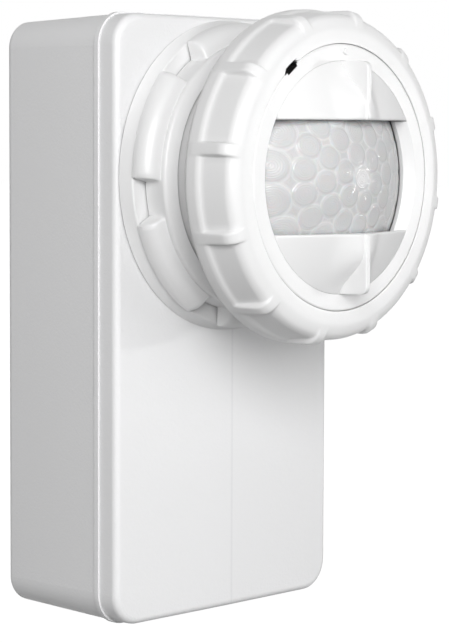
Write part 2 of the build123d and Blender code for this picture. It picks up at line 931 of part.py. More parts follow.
# Bezel: the front ring of the lens head, held behind the collar's lip
with BuildPart() as bezel:
    lens_pocket = lens_flange_radius + fit_gap
    lens_top = lens_base + lens_flange_thickness
    turned(
        [
            (lens_pocket, lens_base, 0),
            (bezel_flange_radius, lens_base, 0),
            (bezel_flange_radius, bezel_flange_top, 0),
            (bezel_radius, bezel_flange_top, 0),
            (bezel_radius, bezel_face, bezel_edge),
            (bezel_opening, bezel_face, 0),
            (bezel_opening, lens_top, 0),
            (lens_pocket, lens_top, 0),
        ]
    )
    pip_x, pip_y = polar(pip_circle_radius, pip_angle)
    head_disc(pip_radius, bezel_edge + pip_height, pip_x, pip_y, bezel_face - bezel_edge)
    with BuildSketch(head_plane(bezel_face - notch_depth)):
        with PolarLocations(bezel_radius - notch_width / 2, 1, start_angle=notch_angle):
            Rectangle(notch_width, notch_length)
    extrude(amount=2 * notch_depth, mode=Mode.SUBTRACT)
    add(bezel_flanks())
bezel.part.label = "bezel"


# Lens: a shallow dome on a flat flange
with BuildPart() as lens_dome:
    dome_foot = lens_base + lens_flange_thickness
    inner_foot = sqrt((lens_radius - lens_wall) ** 2 - (dome_foot - lens_centre) ** 2)
    with BuildSketch(head_section):
        with Locations((0, lens_centre)):
            Circle(lens_radius)
            Circle(lens_radius - lens_wall, mode=Mode.SUBTRACT)
        with Locations((0, dome_foot)):
            Rectangle(lens_flange_radius, 2 * lens_rise, align=low_corner, mode=Mode.INTERSECT)
        with Locations((inner_foot, lens_base)):
            Rectangle(lens_flange_radius - inner_foot, lens_flange_thickness, align=low_corner)
    revolve(axis=head_axis)
lens_dome.part.label = "lens_dome"


def mask_fin():
    """The upright fin on a mask: a thin blade that ends level with the rim and rounds off at its corner."""
    root_y = front_y - bezel_face + mask_wall
    ridge_y = front_y - fin_ridge
    with BuildPart() as fin:
        with BuildSketch(Plane.XY.offset(head_z + mask_gap)):
            with BuildLine():
                Polyline(
                    (-fin_half_foot, root_y),
                    (-fin_half_foot, front_y - bezel_face),
                    (-fin_half_edge, ridge_y),
                    (fin_half_edge, ridge_y),
                    (fin_half_foot, front_y - bezel_face),
                    (fin_half_foot, root_y),
                    close=True,
                )
            make_face()
        extrude(amount=fin_outer - mask_gap)
        outer_edges = fin.faces().sort_by(Axis.Z)[-1].edges()
        fillet(outer_edges.sort_by(Axis.Y)[0], fin_corner)
        with BuildSketch(head_section):
            with Locations((0, mask_centre)):
                Circle(mask_crown_radius - mask_wall)
                Rectangle(
                    mask_crown_radius,
                    2 * mask_crown_radius,
                    align=(Align.MIN, Align.CENTER),
                    mode=Mode.INTERSECT,
                )
        revolve(axis=head_axis, mode=Mode.SUBTRACT)
        with BuildSketch(head_plane(bezel_face - 2 * mask_wall)):
            Circle(mask_radius + 4 * fin_half_foot)
            Circle(mask_radius, mode=Mode.SUBTRACT)
        extrude(amount=2 * mask_wall + mask_fit, mode=Mode.SUBTRACT)
    return fin.part


def mask_fin_foot():
    """The hollow curve on both sides of the fin's foot, as a ball would leave it that rolls along the dome."""
    ball_side = fin_half_edge - fin_foot_lap + fin_foot_round
    ball_reach = mask_crown_radius + fin_foot_round - fin_foot_bite
    ball_radius = sqrt(ball_reach**2 - ball_side**2)
    crown = Plane(origin=(0, front_y - mask_centre, head_z), x_dir=(1, 0, 0), z_dir=(0, 0, 1))
    with BuildPart() as foot:
        with BuildSketch(crown):
            with Locations((0, 0.6 * mask_wall - mask_crown_radius)):
                Rectangle(2 * ball_side, fin_foot_round + 0.6 * mask_wall, align=(Align.CENTER, Align.MAX))
            with Locations((-ball_side, -ball_radius), (ball_side, -ball_radius)):
                Circle(fin_foot_round, mode=Mode.SUBTRACT)
        revolve(axis=Axis(crown.origin, (1, 0, 0)), revolution_arc=-45)
        with BuildSketch(head_plane(bezel_face)):
            Circle(mask_radius - fin_foot_inset)
        extrude(amount=fin_reach, mode=Mode.INTERSECT)
        with BuildSketch(Plane.XY.offset(head_z + mask_gap)):
            with Locations((0, front_y - bezel_face)):
                Rectangle(3 * ball_side, 3 * fin_reach)
        extrude(amount=mask_radius, mode=Mode.INTERSECT)
    return foot.part


# Upper mask: a domed plate with a straight lower edge, whose fin splits the view in two
upper_fin = mask_fin()
upper_fin_foot = mask_fin_foot()
with BuildPart() as upper_mask:
    with BuildSketch(head_section):
        with Locations((0, mask_centre)):
            Circle(mask_crown_radius)
            Circle(mask_crown_radius - mask_wall, mode=Mode.SUBTRACT)
        with Locations((0, bezel_face - mask_skirt)):
            Rectangle(mask_radius, 4 * mask_skirt, align=low_corner, mode=Mode.INTERSECT)
        with Locations((mask_radius - mask_wall, bezel_face - mask_skirt)):
            Rectangle(mask_wall, mask_skirt, align=low_corner)
    revolve(axis=head_axis)
    with BuildSketch(Plane.XY.offset(head_z + mask_gap)):
        with Locations((0, front_y - bezel_face)):
            Rectangle(3 * mask_radius, 4 * mask_skirt)
    extrude(amount=mask_radius, mode=Mode.INTERSECT)
    add(upper_fin)
    add(upper_fin_foot)
upper_mask.part.label = "upper_mask"


# Lower mask: the same plate turned over
with BuildPart() as lower_mask:
    mirror(upper_mask.part, about=Plane.XY.offset(head_z))
lower_mask.part.label = "lower_mask"


# Sensor board, on the neck's ledge
with BuildPart() as sensor_board:
    with BuildSketch(head_plane(board_ahead)):
        Circle(sensor_board_radius)
        with Locations(*sensor_screw_places):
            Circle(small_screw_radius + fit_gap, mode=Mode.SUBTRACT)
        with Locations(*link_places):
            Circle(pin_hole_radius, mode=Mode.SUBTRACT)
    extrude(amount=board_thickness)
sensor_board.part.label = "sensor_board"


# Three screws that hold the sensor board
with BuildPart() as sensor_board_screws:
    for x, y in sensor_screw_places:
        cross_screw(
            facing(front_y - sensor_face, x, head_z + y),
            small_screw_head_radius,
            small_screw_head_height,
            small_screw_radius,
            small_screw_length,
        )
sensor_board_screws.part.label = "sensor_board_screws"


# Heat sensor in its round can, with the recess for its window
with BuildPart() as pir_sensor:
    head_disc(can_flange_radius, can_flange_thickness, 0, 0, sensor_face)
    head_disc(can_radius, can_height, 0, 0, sensor_face)
    with BuildSketch(head_plane(sensor_face + can_height - can_window_thickness)):
        Rectangle(can_window_width, can_window_height)
    extrude(amount=can_window_thickness, mode=Mode.SUBTRACT)
pir_sensor.part.label = "pir_sensor"


# Window of the heat sensor
with BuildPart() as pir_window:
    with BuildSketch(head_plane(sensor_face + can_height - can_window_thickness)):
        Rectangle(can_window_width, can_window_height)
    extrude(amount=can_window_thickness)
pir_window.part.label = "pir_window"


# Three trimmer bodies, each with a round well for its dial
trimmer_face = sensor_face + trimmer_height
with BuildPart() as trimmer_bodies:
    with BuildSketch(head_plane(sensor_face)):
        with Locations(*trimmer_places.values()):
            Rectangle(trimmer_width, trimmer_width)
    extrude(amount=trimmer_height)
    with BuildSketch(head_plane(trimmer_face)):
        with Locations(*trimmer_places.values()):
            Circle(dial_radius + fit_gap)
    extrude(amount=-dial_sink - fit_gap, mode=Mode.SUBTRACT)
trimmer_bodies.part.label = "trimmer_bodies"


def trimmer_dial(x, y):
    """A dial that turns in its trimmer's well, with a slot for a driver and a flat pointer cut."""
    with BuildPart() as dial:
        head_disc(dial_radius, dial_sink + dial_height, x, y, trimmer_face - dial_sink)
        with BuildSketch(head_plane(trimmer_face + dial_height)):
            with Locations((x, y)):
                Rectangle(dial_slot_width, 2 * dial_radius)
                Rectangle(dial_radius, dial_slot_width)
        extrude(amount=-dial_slot_depth, mode=Mode.SUBTRACT)
    return dial.part


# Dials for the delay, the reach and the light level
dials = {name: trimmer_dial(*place) for name, place in trimmer_places.items()}
for name, dial in dials.items():
    dial.label = name


# Case of the mode switches, with a slot for each slider
with BuildPart() as switch_case:
    with BuildSketch(head_plane(sensor_face)):
        with Locations((0, switch_y)):
            Rectangle(switch_width, switch_height)
    extrude(amount=switch_depth)
    with BuildSketch(head_plane(switch_face)):
        with Locations(*[(x, switch_y) for x in slider_places]):
            Rectangle(switch_slot_width, switch_slot_height)
    extrude(amount=-switch_slot_depth, mode=Mode.SUBTRACT)
switch_case.part.label = "switch_case"


def mode_slider(x):
    """A slider at the lower end of its slot in the switch case."""
    low_edge = switch_y - switch_slot_height / 2 + fit_gap
    with BuildPart() as slider:
        with BuildSketch(head_plane(switch_face - switch_slot_depth + fit_gap)):
            with Locations((x, low_edge + slider_height / 2)):
                Rectangle(switch_slot_width - 2 * fit_gap, slider_height)
        extrude(amount=switch_slot_depth - fit_gap + slider_rise)
    return slider.part


# Sliders of the mode switches
sliders = {f"mode_slider_{index + 1}": mode_slider(x) for index, x in enumerate(slider_places)}
for name, slider in sliders.items():
    slider.label = name


# Status light: a small domed lamp with a rim at its foot
with BuildPart() as status_led:
    head_disc(led_radius, led_height, indicator_x, indicator_y, sensor_face)
    fillet(status_led.edges().sort_by(Axis.Y)[0], led_radius - led_rim)
    head_disc(led_radius + led_rim, led_rim, indicator_x, indicator_y, sensor_face)
status_led.part.label = "status_led"


# Light cell that reads the daylight
with BuildPart() as photocell:
    head_disc(photocell_radius, photocell_height, -indicator_x, indicator_y, sensor_face)
    chamfer(photocell.edges().sort_by(Axis.Y)[0], led_rim)
photocell.part.label = "photocell"


finished = [
    rear_housing,
    front_cover,
    housing_seal,
    housing_screws,
    threaded_nipple,
    nipple_gasket,
    nipple_washer,
    locknut,
    power_board,
    power_board_screws,
    transformer_core,
    transformer_coil,
    relay,
    filter_capacitor,
    line_capacitor,
    varistor,
    fuse,
    lead_terminals,
    link_header,
    link_pins,
    neck_tube,
    flange_seal,
    neck_screws,
    lock_ring,
    lens_seat,
    seat_seal,
    front_collar,
    bezel,
    lens_dome,
    upper_mask,
    lower_mask,
    sensor_board,
    sensor_board_screws,
    pir_sensor,
    pir_window,
    trimmer_bodies,
    switch_case,
    status_led,
    photocell,
]
for piece in [builder.part for builder in finished] + list(dials.values()) + list(sliders.values()):
    export_step(piece, f"parts/{piece.label}.step")

# What the record needs: the axes, the travels and the couplings
print("head axis z", round(head_z, 3), "front face y", round(front_y, 3))
print("dial places", {name: (x, round(head_z + y, 3)) for name, (x, y) in trimmer_places.items()})
print("collar travel", seat_travel, "for", collar_turn, "degrees:", seat_travel / radians(collar_turn))
print("locknut travel", locknut_travel, "for", locknut_turns, "turns:", locknut_pitch / (2 * pi))
print("slider travel", round(slider_travel, 3), "dial turn", dial_turn, "ring turn", ring_turn)
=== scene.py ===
# %% [markdown]
# # A fixture-mounted occupancy sensor
# The real object is a tall white box that hangs on a light fixture by a threaded nipple. A round sealed
# head stands on its front: a lock ring with lugs, a ribbed screw collar, and a bezel that holds a domed
# lens between two masks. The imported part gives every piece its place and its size. This lesson gives
# those pieces their finish, and it models again the ones whose soft moulded shapes carry the likeness.

# %% The tools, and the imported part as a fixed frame
import json
import math

import bmesh
import bpy
from mathutils import Matrix, Vector


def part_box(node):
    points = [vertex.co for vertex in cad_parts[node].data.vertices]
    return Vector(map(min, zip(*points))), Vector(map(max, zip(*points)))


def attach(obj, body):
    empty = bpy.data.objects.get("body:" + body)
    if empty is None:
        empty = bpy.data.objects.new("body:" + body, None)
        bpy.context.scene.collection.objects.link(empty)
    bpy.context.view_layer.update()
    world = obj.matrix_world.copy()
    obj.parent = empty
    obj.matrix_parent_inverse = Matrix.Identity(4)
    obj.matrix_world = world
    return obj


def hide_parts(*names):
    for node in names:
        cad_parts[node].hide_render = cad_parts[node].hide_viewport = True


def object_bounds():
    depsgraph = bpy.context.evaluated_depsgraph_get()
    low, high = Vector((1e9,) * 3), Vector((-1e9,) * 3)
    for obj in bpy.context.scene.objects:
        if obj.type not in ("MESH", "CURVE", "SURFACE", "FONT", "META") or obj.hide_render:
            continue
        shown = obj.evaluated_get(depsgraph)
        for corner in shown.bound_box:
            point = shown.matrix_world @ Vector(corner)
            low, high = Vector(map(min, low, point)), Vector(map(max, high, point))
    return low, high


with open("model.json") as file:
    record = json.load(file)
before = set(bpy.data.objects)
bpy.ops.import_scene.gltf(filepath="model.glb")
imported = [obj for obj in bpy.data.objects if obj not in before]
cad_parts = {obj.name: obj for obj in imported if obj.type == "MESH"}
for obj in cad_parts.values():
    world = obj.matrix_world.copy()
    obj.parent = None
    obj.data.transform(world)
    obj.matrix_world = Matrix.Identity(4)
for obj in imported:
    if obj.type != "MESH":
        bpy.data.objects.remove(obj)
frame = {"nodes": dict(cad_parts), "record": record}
cad_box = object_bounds()
nodes = frame["nodes"]
MM = 0.001
print("box", [round(side / MM, 1) for side in cad_box[1] - cad_box[0]], "mm")

# %% [markdown]
# ## Where the head is
# All the round pieces share one axis, which runs forward out of the box's face. It is easier to model them
# round Z, in millimetres, and to carry them over at the end. One matrix does that: it scales to metres,
# turns Z forward and moves the origin to the face. Each distance "ahead" is counted from that face, and
# each angle anticlockwise from the right, as seen from the front.

# %% The head's axis and the matrix that carries a piece onto it
face_y = -0.0332
collar_low, collar_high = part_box("front_collar")
head_z = collar_low.z / 2 + collar_high.z / 2
lay_forward = Matrix.Rotation(math.radians(90), 4, "X")
head_place = Matrix.Translation((0, face_y, head_z)) @ lay_forward @ Matrix.Scale(MM, 4)
print("head axis at z", round(head_z / MM, 2), "mm")


def ahead_of(node):
    """How far ahead of the box's face a node starts and ends, in millimetres."""
    low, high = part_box(node)
    return (face_y - high.y) / MM, (face_y - low.y) / MM


for name in ("neck_tube", "lock_ring", "lens_seat", "front_collar", "bezel", "lens_dome", "upper_mask"):
    print(name, [round(value, 2) for value in ahead_of(name)])

# %% [markdown]
# ## The camera
# The picture is taken from the left of the front and almost level, from about half a metre, so the sides
# that run away from it close up slightly. The lens is long for that distance. A small shift, as on a view
# camera, puts the object where the photographer had it, without tilting the uprights. The focal length and
# the middle of the view are counted in the picture's pixels, and turned into the camera's own measures.

# %% The camera
picture_width, picture_height = 449, 643
focal_length, middle_x, middle_y = 2421, 215.1, 313.5
film_width = 36
camera_data = bpy.data.cameras.new("photo_camera")
camera_data.sensor_width = film_width
camera_data.lens = focal_length / picture_height * film_width
camera_data.shift_x = (picture_width / 2 - middle_x) / picture_height
camera_data.shift_y = (middle_y - picture_height / 2) / picture_height
camera_data.clip_start = 0.01

turn, dip, roll = math.radians(-47.06), math.radians(4.23), math.radians(0.19)
look_level = Matrix.Rotation(math.radians(90) - dip, 3, "X")
camera_turn = Matrix.Rotation(turn, 3, "Z") @ look_level @ Matrix.Rotation(roll, 3, "Z")
camera = bpy.data.objects.new("photo_camera", camera_data)
bpy.context.scene.collection.objects.link(camera)
camera.location = (-0.3429, -0.3489, 0.0617)
camera.rotation_euler = camera_turn.to_euler()
bpy.context.scene.camera = camera
shift = [round(value, 4) for value in (camera_data.shift_x, camera_data.shift_y)]
print("lens", round(camera_data.lens, 1), "mm, shift", shift)

# %% [markdown]
# ## Light and floor
# The photograph is a white studio shot. A soft light to the left of the front, a little above, makes the
# rounded edges that face it shine and throws the head's shadow down to the right. A broad weak one in
# front opens the shadows, and a small one at the right puts a glint on the lens. Only rays that come from
# the camera, or that mirror in something or pass through it, see the world and the floor as white, so the
# object keeps its greys. Both need the same few nodes, so short helpers place them.


# %% Helpers that place nodes and link them
def fill_sockets(tree, sockets, values):
    """Gives each socket its value: a link where the value is a socket too, and else a plain setting."""
    for socket, value in zip(sockets, values):
        if isinstance(value, bpy.types.NodeSocket):
            tree.links.new(value, socket)
        else:
            socket.default_value = value


def math_node(tree, operation, *values):
    """A math node on one or two values, each a socket or a number. Gives its output."""
    node = tree.nodes.new("ShaderNodeMath")
    node.operation = operation
    fill_sockets(tree, node.inputs, values)
    return node.outputs["Value"]


def bright_rays(tree):
    """A value that is 1 on the camera's rays, and on those that mirror in something or pass through it."""
    rays = tree.nodes.new("ShaderNodeLightPath")
    seen = math_node(tree, "ADD", rays.outputs["Is Camera Ray"], rays.outputs["Is Glossy Ray"])
    seen_through = math_node(tree, "ADD", seen, rays.outputs["Is Transmission Ray"])
    seen_through.node.use_clamp = True
    return seen_through


def show_mix(tree, share, first, second, output):
    """Mixes two shaders by a share, and sends the result to the tree's output node."""
    mix = tree.nodes.new("ShaderNodeMixShader")
    fill_sockets(tree, mix.inputs, (share, first, second))
    tree.links.new(mix.outputs["Shader"], tree.nodes[output].inputs["Surface"])


# %% The world
bpy.context.scene.view_settings.view_transform = "Standard"
world = bpy.data.worlds.new("studio")
bpy.context.scene.world = world
world.use_nodes = True
world_tree = world.node_tree
fill = world_tree.nodes["Background"]
backdrop = world_tree.nodes.new("ShaderNodeBackground")
for background, strength in ((fill, 0.08), (backdrop, 1.0)):
    background.inputs["Color"].default_value = (1, 1, 1, 1)
    background.inputs["Strength"].default_value = strength
show_mix(
    world_tree,
    bright_rays(world_tree),
    fill.outputs["Background"],
    backdrop.outputs["Background"],
    "World Output",
)
print("world", world.name, "with", len(world_tree.nodes), "nodes")

# %% The soft lights
light_aim = Vector((0, -0.03, 0.03))


def soft_light(name, towards, distance, size, power):
    """A square area light that looks at the head from a direction."""
    data = bpy.data.lights.new(name, "AREA")
    data.shape = "SQUARE"
    data.size = size
    data.energy = power
    light = bpy.data.objects.new(name, data)
    bpy.context.scene.collection.objects.link(light)
    direction = Vector(towards).normalized()
    light.location = light_aim + direction * distance
    light.rotation_euler = direction.to_track_quat("Z", "Y").to_euler()
    print(name, "at", [round(value, 2) for value in light.location], "with", power, "W")


soft_light("key_light", (-0.655, -0.69, 0.31), 0.62, 0.3, 2.95)
soft_light("front_light", (0.0, -1.0, 0.2), 1.0, 0.9, 3.6)
soft_light("glint_light", (0.77, -0.64, 0.02), 1.2, 0.05, 1.1)

# %% The floor
floor_size, floor_gap = 3, 0.0002
floor_bm = bmesh.new()
bmesh.ops.create_grid(floor_bm, x_segments=1, y_segments=1, size=floor_size)
bmesh.ops.translate(floor_bm, verts=floor_bm.verts, vec=(0, 0, cad_box[0].z - floor_gap))
floor_mesh = bpy.data.meshes.new("floor")
floor_bm.to_mesh(floor_mesh)
floor_bm.free()
floor = bpy.data.objects.new("floor", floor_mesh)
bpy.context.scene.collection.objects.link(floor)
print("floor at", round(floor_mesh.vertices[0].co.z / MM, 2), "mm")

# %% The floor's finish
floor_whiteness = 0.85
floor_material = bpy.data.materials.new("studio_floor")
floor_material.use_nodes = True
floor_tree = floor_material.node_tree
floor_shader = floor_tree.nodes["Principled BSDF"]
floor_shader.inputs["Base Color"].default_value = (0.2, 0.2, 0.2, 1)
floor_shader.inputs["Roughness"].default_value = 0.9
floor_glow = floor_tree.nodes.new("ShaderNodeEmission")
floor_glow.inputs["Strength"].default_value = 1.2
show_mix(
    floor_tree,
    math_node(floor_tree, "MULTIPLY", bright_rays(floor_tree), floor_whiteness),
    floor_shader.outputs["BSDF"],
    floor_glow.outputs["Emission"],
    "Material Output",
)
floor_mesh.materials.append(floor_material)
print("floor finish", floor_material.name, "with", len(floor_tree.nodes), "nodes")

# %% [markdown]
# ## Effects that many finishes share
# A moulded surface is never perfectly even. It has a fine grain from the tool, a slow cloudiness in its
# colour and edges that handling has polished. Its narrow corners get painted shade, a darker colour where
# little light reaches. Each of these is a node group with named inputs, built once and placed in every
# material with its own values. A group gives out only
# colours, masks and values. All patterns lie in the piece's own coordinates, which are in metres.


# %% Helpers that make a group and what goes in it
def new_group(name, inputs, outputs):
    """A shader node group. Inputs are (name, kind, value) and outputs are (name, kind)."""
    group = bpy.data.node_groups.new(name, "ShaderNodeTree")
    for label, kind, value in inputs:
        socket = group.interface.new_socket(label, in_out="INPUT", socket_type="NodeSocket" + kind)
        socket.default_value = value
    for label, kind in outputs:
        group.interface.new_socket(label, in_out="OUTPUT", socket_type="NodeSocket" + kind)
    print("group", name, "with", [label for label, kind, value in inputs])
    return group, group.nodes.new("NodeGroupInput"), group.nodes.new("NodeGroupOutput")


def own_place(tree):
    """The piece's own coordinates, as a socket."""
    return tree.nodes.new("ShaderNodeTexCoord").outputs["Object"]


def noise(tree, size, detail=2):
    """Noise over the piece's own coordinates, from a size that is a socket or a number."""
    node = tree.nodes.new("ShaderNodeTexNoise")
    node.inputs["Detail"].default_value = detail
    fill_sockets(tree, (node.inputs["Vector"], node.inputs["Scale"]), (own_place(tree), size))
    return node.outputs["Fac"]


def ramp(tree, value, zero_at, one_at):
    """Maps a value to a share that is 0 at one number and 1 at the other, and stays between them."""
    node = tree.nodes.new("ShaderNodeMapRange")
    labels = ("Value", "From Min", "From Max")
    fill_sockets(tree, [node.inputs[label] for label in labels], (value, zero_at, one_at))
    return node.outputs["Result"]


def mix_colours(tree, share, first, second):
    """Mixes two colours, each a socket or a tuple, by a share from 0 to 1. Gives the result."""
    node = tree.nodes.new("ShaderNodeMix")
    node.data_type = "RGBA"
    fill_sockets(tree, (node.inputs[0], node.inputs[6], node.inputs[7]), (share, first, second))
    return node.outputs[2]


# %% Grain: a fine height and an uneven gloss
grain_group, grain_in, grain_out = new_group(
    "tool_grain",
    [("Size", "Float", 2500.0), ("Roughness", "Float", 0.4), ("Unevenness", "Float", 0.1)],
    [("Height", "Float"), ("Roughness", "Float")],
)
grain_group.links.new(noise(grain_group, grain_in.outputs["Size"], 3), grain_out.inputs["Height"])
slow_swing = math_node(grain_group, "SUBTRACT", noise(grain_group, 90), 0.5)
gloss_swing = math_node(grain_group, "MULTIPLY", slow_swing, grain_in.outputs["Unevenness"])
gloss = math_node(grain_group, "ADD", grain_in.outputs["Roughness"], gloss_swing)
grain_group.links.new(gloss, grain_out.inputs["Roughness"])

# %% Clouding: the base colour with a slow drift and fine specks
cloud_group, cloud_in, cloud_out = new_group(
    "moulded_clouding",
    [
        ("Colour", "Color", (0.8, 0.8, 0.8, 1)),
        ("Tint", "Color", (0.7, 0.7, 0.7, 1)),
        ("Drift", "Float", 0.2),
        ("Specks", "Float", 0.1),
        ("Size", "Float", 60.0),
    ],
    [("Colour", "Color")],
)
slow_noise = noise(cloud_group, cloud_in.outputs["Size"], 4)
drift = math_node(cloud_group, "MULTIPLY", slow_noise, cloud_in.outputs["Drift"])
speck_mask = ramp(cloud_group, noise(cloud_group, 1300), 0.62, 0.75)
specks = math_node(cloud_group, "MULTIPLY", speck_mask, cloud_in.outputs["Specks"])
tint_share = math_node(cloud_group, "ADD", drift, specks)
clouded = mix_colours(cloud_group, tint_share, cloud_in.outputs["Colour"], cloud_in.outputs["Tint"])
cloud_group.links.new(clouded, cloud_out.inputs["Colour"])

# %% Edge wear: a mask that is 1 on edges and corners
wear_group, wear_in, wear_out = new_group(
    "edge_wear", [("Width", "Float", 0.0004), ("Amount", "Float", 1.0)], [("Mask", "Float")]
)
softened = wear_group.nodes.new("ShaderNodeBevel")
softened.samples = 4
wear_group.links.new(wear_in.outputs["Width"], softened.inputs["Radius"])
surface = wear_group.nodes.new("ShaderNodeNewGeometry")
likeness = wear_group.nodes.new("ShaderNodeVectorMath")
likeness.operation = "DOT_PRODUCT"
fill_sockets(wear_group, likeness.inputs, (softened.outputs["Normal"], surface.outputs["Normal"]))
edge_mask = ramp(wear_group, likeness.outputs["Value"], 0.99, 0.85)
broken = math_node(wear_group, "MULTIPLY", edge_mask, noise(wear_group, 500))
worn = math_node(wear_group, "MULTIPLY", broken, wear_in.outputs["Amount"])
wear_group.links.new(worn, wear_out.inputs["Mask"])

# %% Painted shade: a mask that is 1 deep in narrow corners, where little light reaches
shade_group, shade_in, shade_out = new_group(
    "painted_corner_shade", [("Reach", "Float", 0.0025), ("Amount", "Float", 0.5)], [("Mask", "Float")]
)
openness = shade_group.nodes.new("ShaderNodeAmbientOcclusion")
openness.samples = 8
shade_group.links.new(shade_in.outputs["Reach"], openness.inputs["Distance"])
corner_mask = ramp(shade_group, openness.outputs["AO"], 0.62, 0.1)
shade_depth = math_node(shade_group, "MULTIPLY", corner_mask, shade_in.outputs["Amount"])
shade_group.links.new(shade_depth, shade_out.inputs["Mask"])

# %% [markdown]
# ## The finishes
# Most pieces are moulded plastic in some colour, so one function makes such a finish from the four groups.
# What differs is the colour, the gloss, the size and depth of the grain, and what rubbing does to an edge:
# plastic goes a little lighter, and plated metal shows brighter steel. The painted shade in narrow corners
# takes the finish's own tint, only darker. Each row below gives a colour, its tint, its roughness, and then
# the grain's size and depth and the colour of a worn edge where they matter.

# %% A function that makes a finish
# How dark the painted shade in narrow corners is, as a share of the finish's tint.
shade_tone = 0.45


def place_group(tree, group, **values):
    """Puts a group in a material and sets its inputs."""
    node = tree.nodes.new("ShaderNodeGroup")
    node.node_tree = group
    for label, value in values.items():
        node.inputs[label].default_value = value
    return node


def opaque(colour):
    """A colour of three numbers with its alpha."""
    return (*colour, 1)


def make_finish(
    name, colour, tint, roughness=0.4, grain=2500, depth=0.00002, worn=None, wear=0.5, **fixed
):
    """A finish with grain, clouding, worn edges and painted shade in corners. What is in fixed goes on the
    shader itself.
    """
    material = bpy.data.materials.new(name)
    material.use_nodes = True
    tree = material.node_tree
    shader = tree.nodes["Principled BSDF"]
    for label, value in fixed.items():
        shader.inputs[label.replace("_", " ")].default_value = value
    clouding = place_group(tree, cloud_group, Colour=opaque(colour), Tint=opaque(tint))
    surface_grain = place_group(tree, grain_group, Size=grain, Roughness=roughness)
    edges = place_group(tree, wear_group, Amount=wear)
    # Painted shade: a darker colour in narrow corners, where little light reaches.
    shade_node = place_group(tree, shade_group)
    shaded_tint = opaque([shade_tone * part for part in tint])
    rubbed = mix_colours(tree, edges.outputs["Mask"], clouding.outputs["Colour"], opaque(worn or colour))
    with_corner_shade = mix_colours(tree, shade_node.outputs["Mask"], rubbed, shaded_tint)
    bump = tree.nodes.new("ShaderNodeBump")
    bump.name = "grain_bump"
    bump.inputs["Distance"].default_value = depth
    tree.links.new(surface_grain.outputs["Height"], bump.inputs["Height"])
    tree.links.new(with_corner_shade, shader.inputs["Base Color"])
    tree.links.new(surface_grain.outputs["Roughness"], shader.inputs["Roughness"])
    tree.links.new(bump.outputs["Normal"], shader.inputs["Normal"])
    return material


# %% The plastics, coats and cases
white_edge, nylon_edge, dial_edge = (0.92, 0.92, 0.92), (0.86, 0.86, 0.84), (0.88, 0.88, 0.86)
plastic_rows = {
    "housing_white": ((0.88, 0.88, 0.885), (0.83, 0.83, 0.84), 0.42, 2200, 0.00005, (0.9, 0.9, 0.9)),
    "head_white": ((0.86, 0.86, 0.86), (0.82, 0.82, 0.825), 0.33, 1500, 0.00001, white_edge),
    "nipple_nylon": ((0.8, 0.8, 0.77), (0.74, 0.74, 0.7), 0.45, 1800, 0.00002, nylon_edge),
    "dial_white": ((0.83, 0.83, 0.8), (0.75, 0.75, 0.71), 0.4, 3000, 0.00001, dial_edge),
    "seal_rubber": ((0.045, 0.045, 0.045), (0.07, 0.07, 0.07), 0.7, 2600, 0.00003, (0.1, 0.1, 0.1)),
    "relay_case": ((0.06, 0.1, 0.28), (0.05, 0.08, 0.2), 0.4),
    "film_case": ((0.62, 0.46, 0.15), (0.5, 0.36, 0.1), 0.35),
    "varistor_coat": ((0.05, 0.18, 0.5), (0.04, 0.13, 0.38), 0.22, 900, 0.00006),
    "header_black": ((0.03, 0.03, 0.03), (0.05, 0.05, 0.05), 0.5),
    "trimmer_case": ((0.06, 0.15, 0.45), (0.05, 0.11, 0.35), 0.4),
    "switch_red": ((0.55, 0.06, 0.05), (0.42, 0.05, 0.04), 0.4),
    "cell_face": ((0.7, 0.62, 0.45), (0.55, 0.45, 0.3), 0.2),
    "window_filter": ((0.05, 0.04, 0.07), (0.08, 0.06, 0.1), 0.1, 2500, 0.000004),
    "capacitor_sleeve": ((0.03, 0.03, 0.05), (0.05, 0.05, 0.07), 0.25, 1200, 0.00002),
    "coil_tape": ((0.72, 0.56, 0.1), (0.62, 0.46, 0.08), 0.3),
    "board_green": ((0.02, 0.17, 0.07), (0.015, 0.12, 0.05), 0.25),
    "fuse_body": ((0.8, 0.78, 0.72), (0.72, 0.7, 0.62), 0.2),
}
finishes = {name: make_finish(name, *values) for name, values in plastic_rows.items()}
finishes["led_red"] = make_finish(
    "led_red", (0.65, 0.04, 0.03), (0.5, 0.03, 0.02), 0.12, depth=0.000004, Transmission_Weight=0.3
)
print("plastic finishes", len(finishes))

# %% The metals
metal_rows = {
    "screw_steel": ((0.56, 0.56, 0.58), (0.45, 0.45, 0.48), 0.32),
    "nut_steel": ((0.6, 0.6, 0.61), (0.48, 0.49, 0.52), 0.36),
    "can_metal": ((0.68, 0.68, 0.67), (0.58, 0.58, 0.57), 0.22),
    "contact_brass": ((0.75, 0.6, 0.3), (0.6, 0.45, 0.2), 0.28),
}
for name, values in metal_rows.items():
    finishes[name] = make_finish(name, *values, 1100, 0.00002, (0.8, 0.8, 0.8), 0.8, Metallic=1.0)
print("metals", sorted(metal_rows))

# %% [markdown]
# ## The knit line
# Where two streams of plastic met in the cover's mould, a faint straight line runs down its face from the
# head. It has no depth, so it is only a slightly darker colour inside a very narrow box. The same helper
# will darken the slot in the head, which is too small and deep for the light to reach its bottom.


# %% A mark inside a box
def tint_over(material, mask, colour):
    """Lays a colour over a finish where a mask's socket is high."""
    tree = material.node_tree
    base = tree.nodes["Principled BSDF"].inputs["Base Color"]
    tree.links.new(mix_colours(tree, mask, base.links[0].from_socket, opaque(colour)), base)


def mark_box(material, low, high, fade, colour):
    """Colours a finish inside a box given by two corners in metres, with sides that fade over a width."""
    tree = material.node_tree
    split = tree.nodes.new("ShaderNodeSeparateXYZ")
    tree.links.new(own_place(tree), split.inputs["Vector"])
    mask = 1.0
    for side, first, last in zip("XYZ", low, high):
        offset = math_node(tree, "SUBTRACT", split.outputs[side], (first + last) / 2)
        half = (last - first) / 2
        inside = ramp(tree, math_node(tree, "ABSOLUTE", offset), half + fade, half)
        mask = math_node(tree, "MULTIPLY", inside, mask)
    tint_over(material, mask, colour)


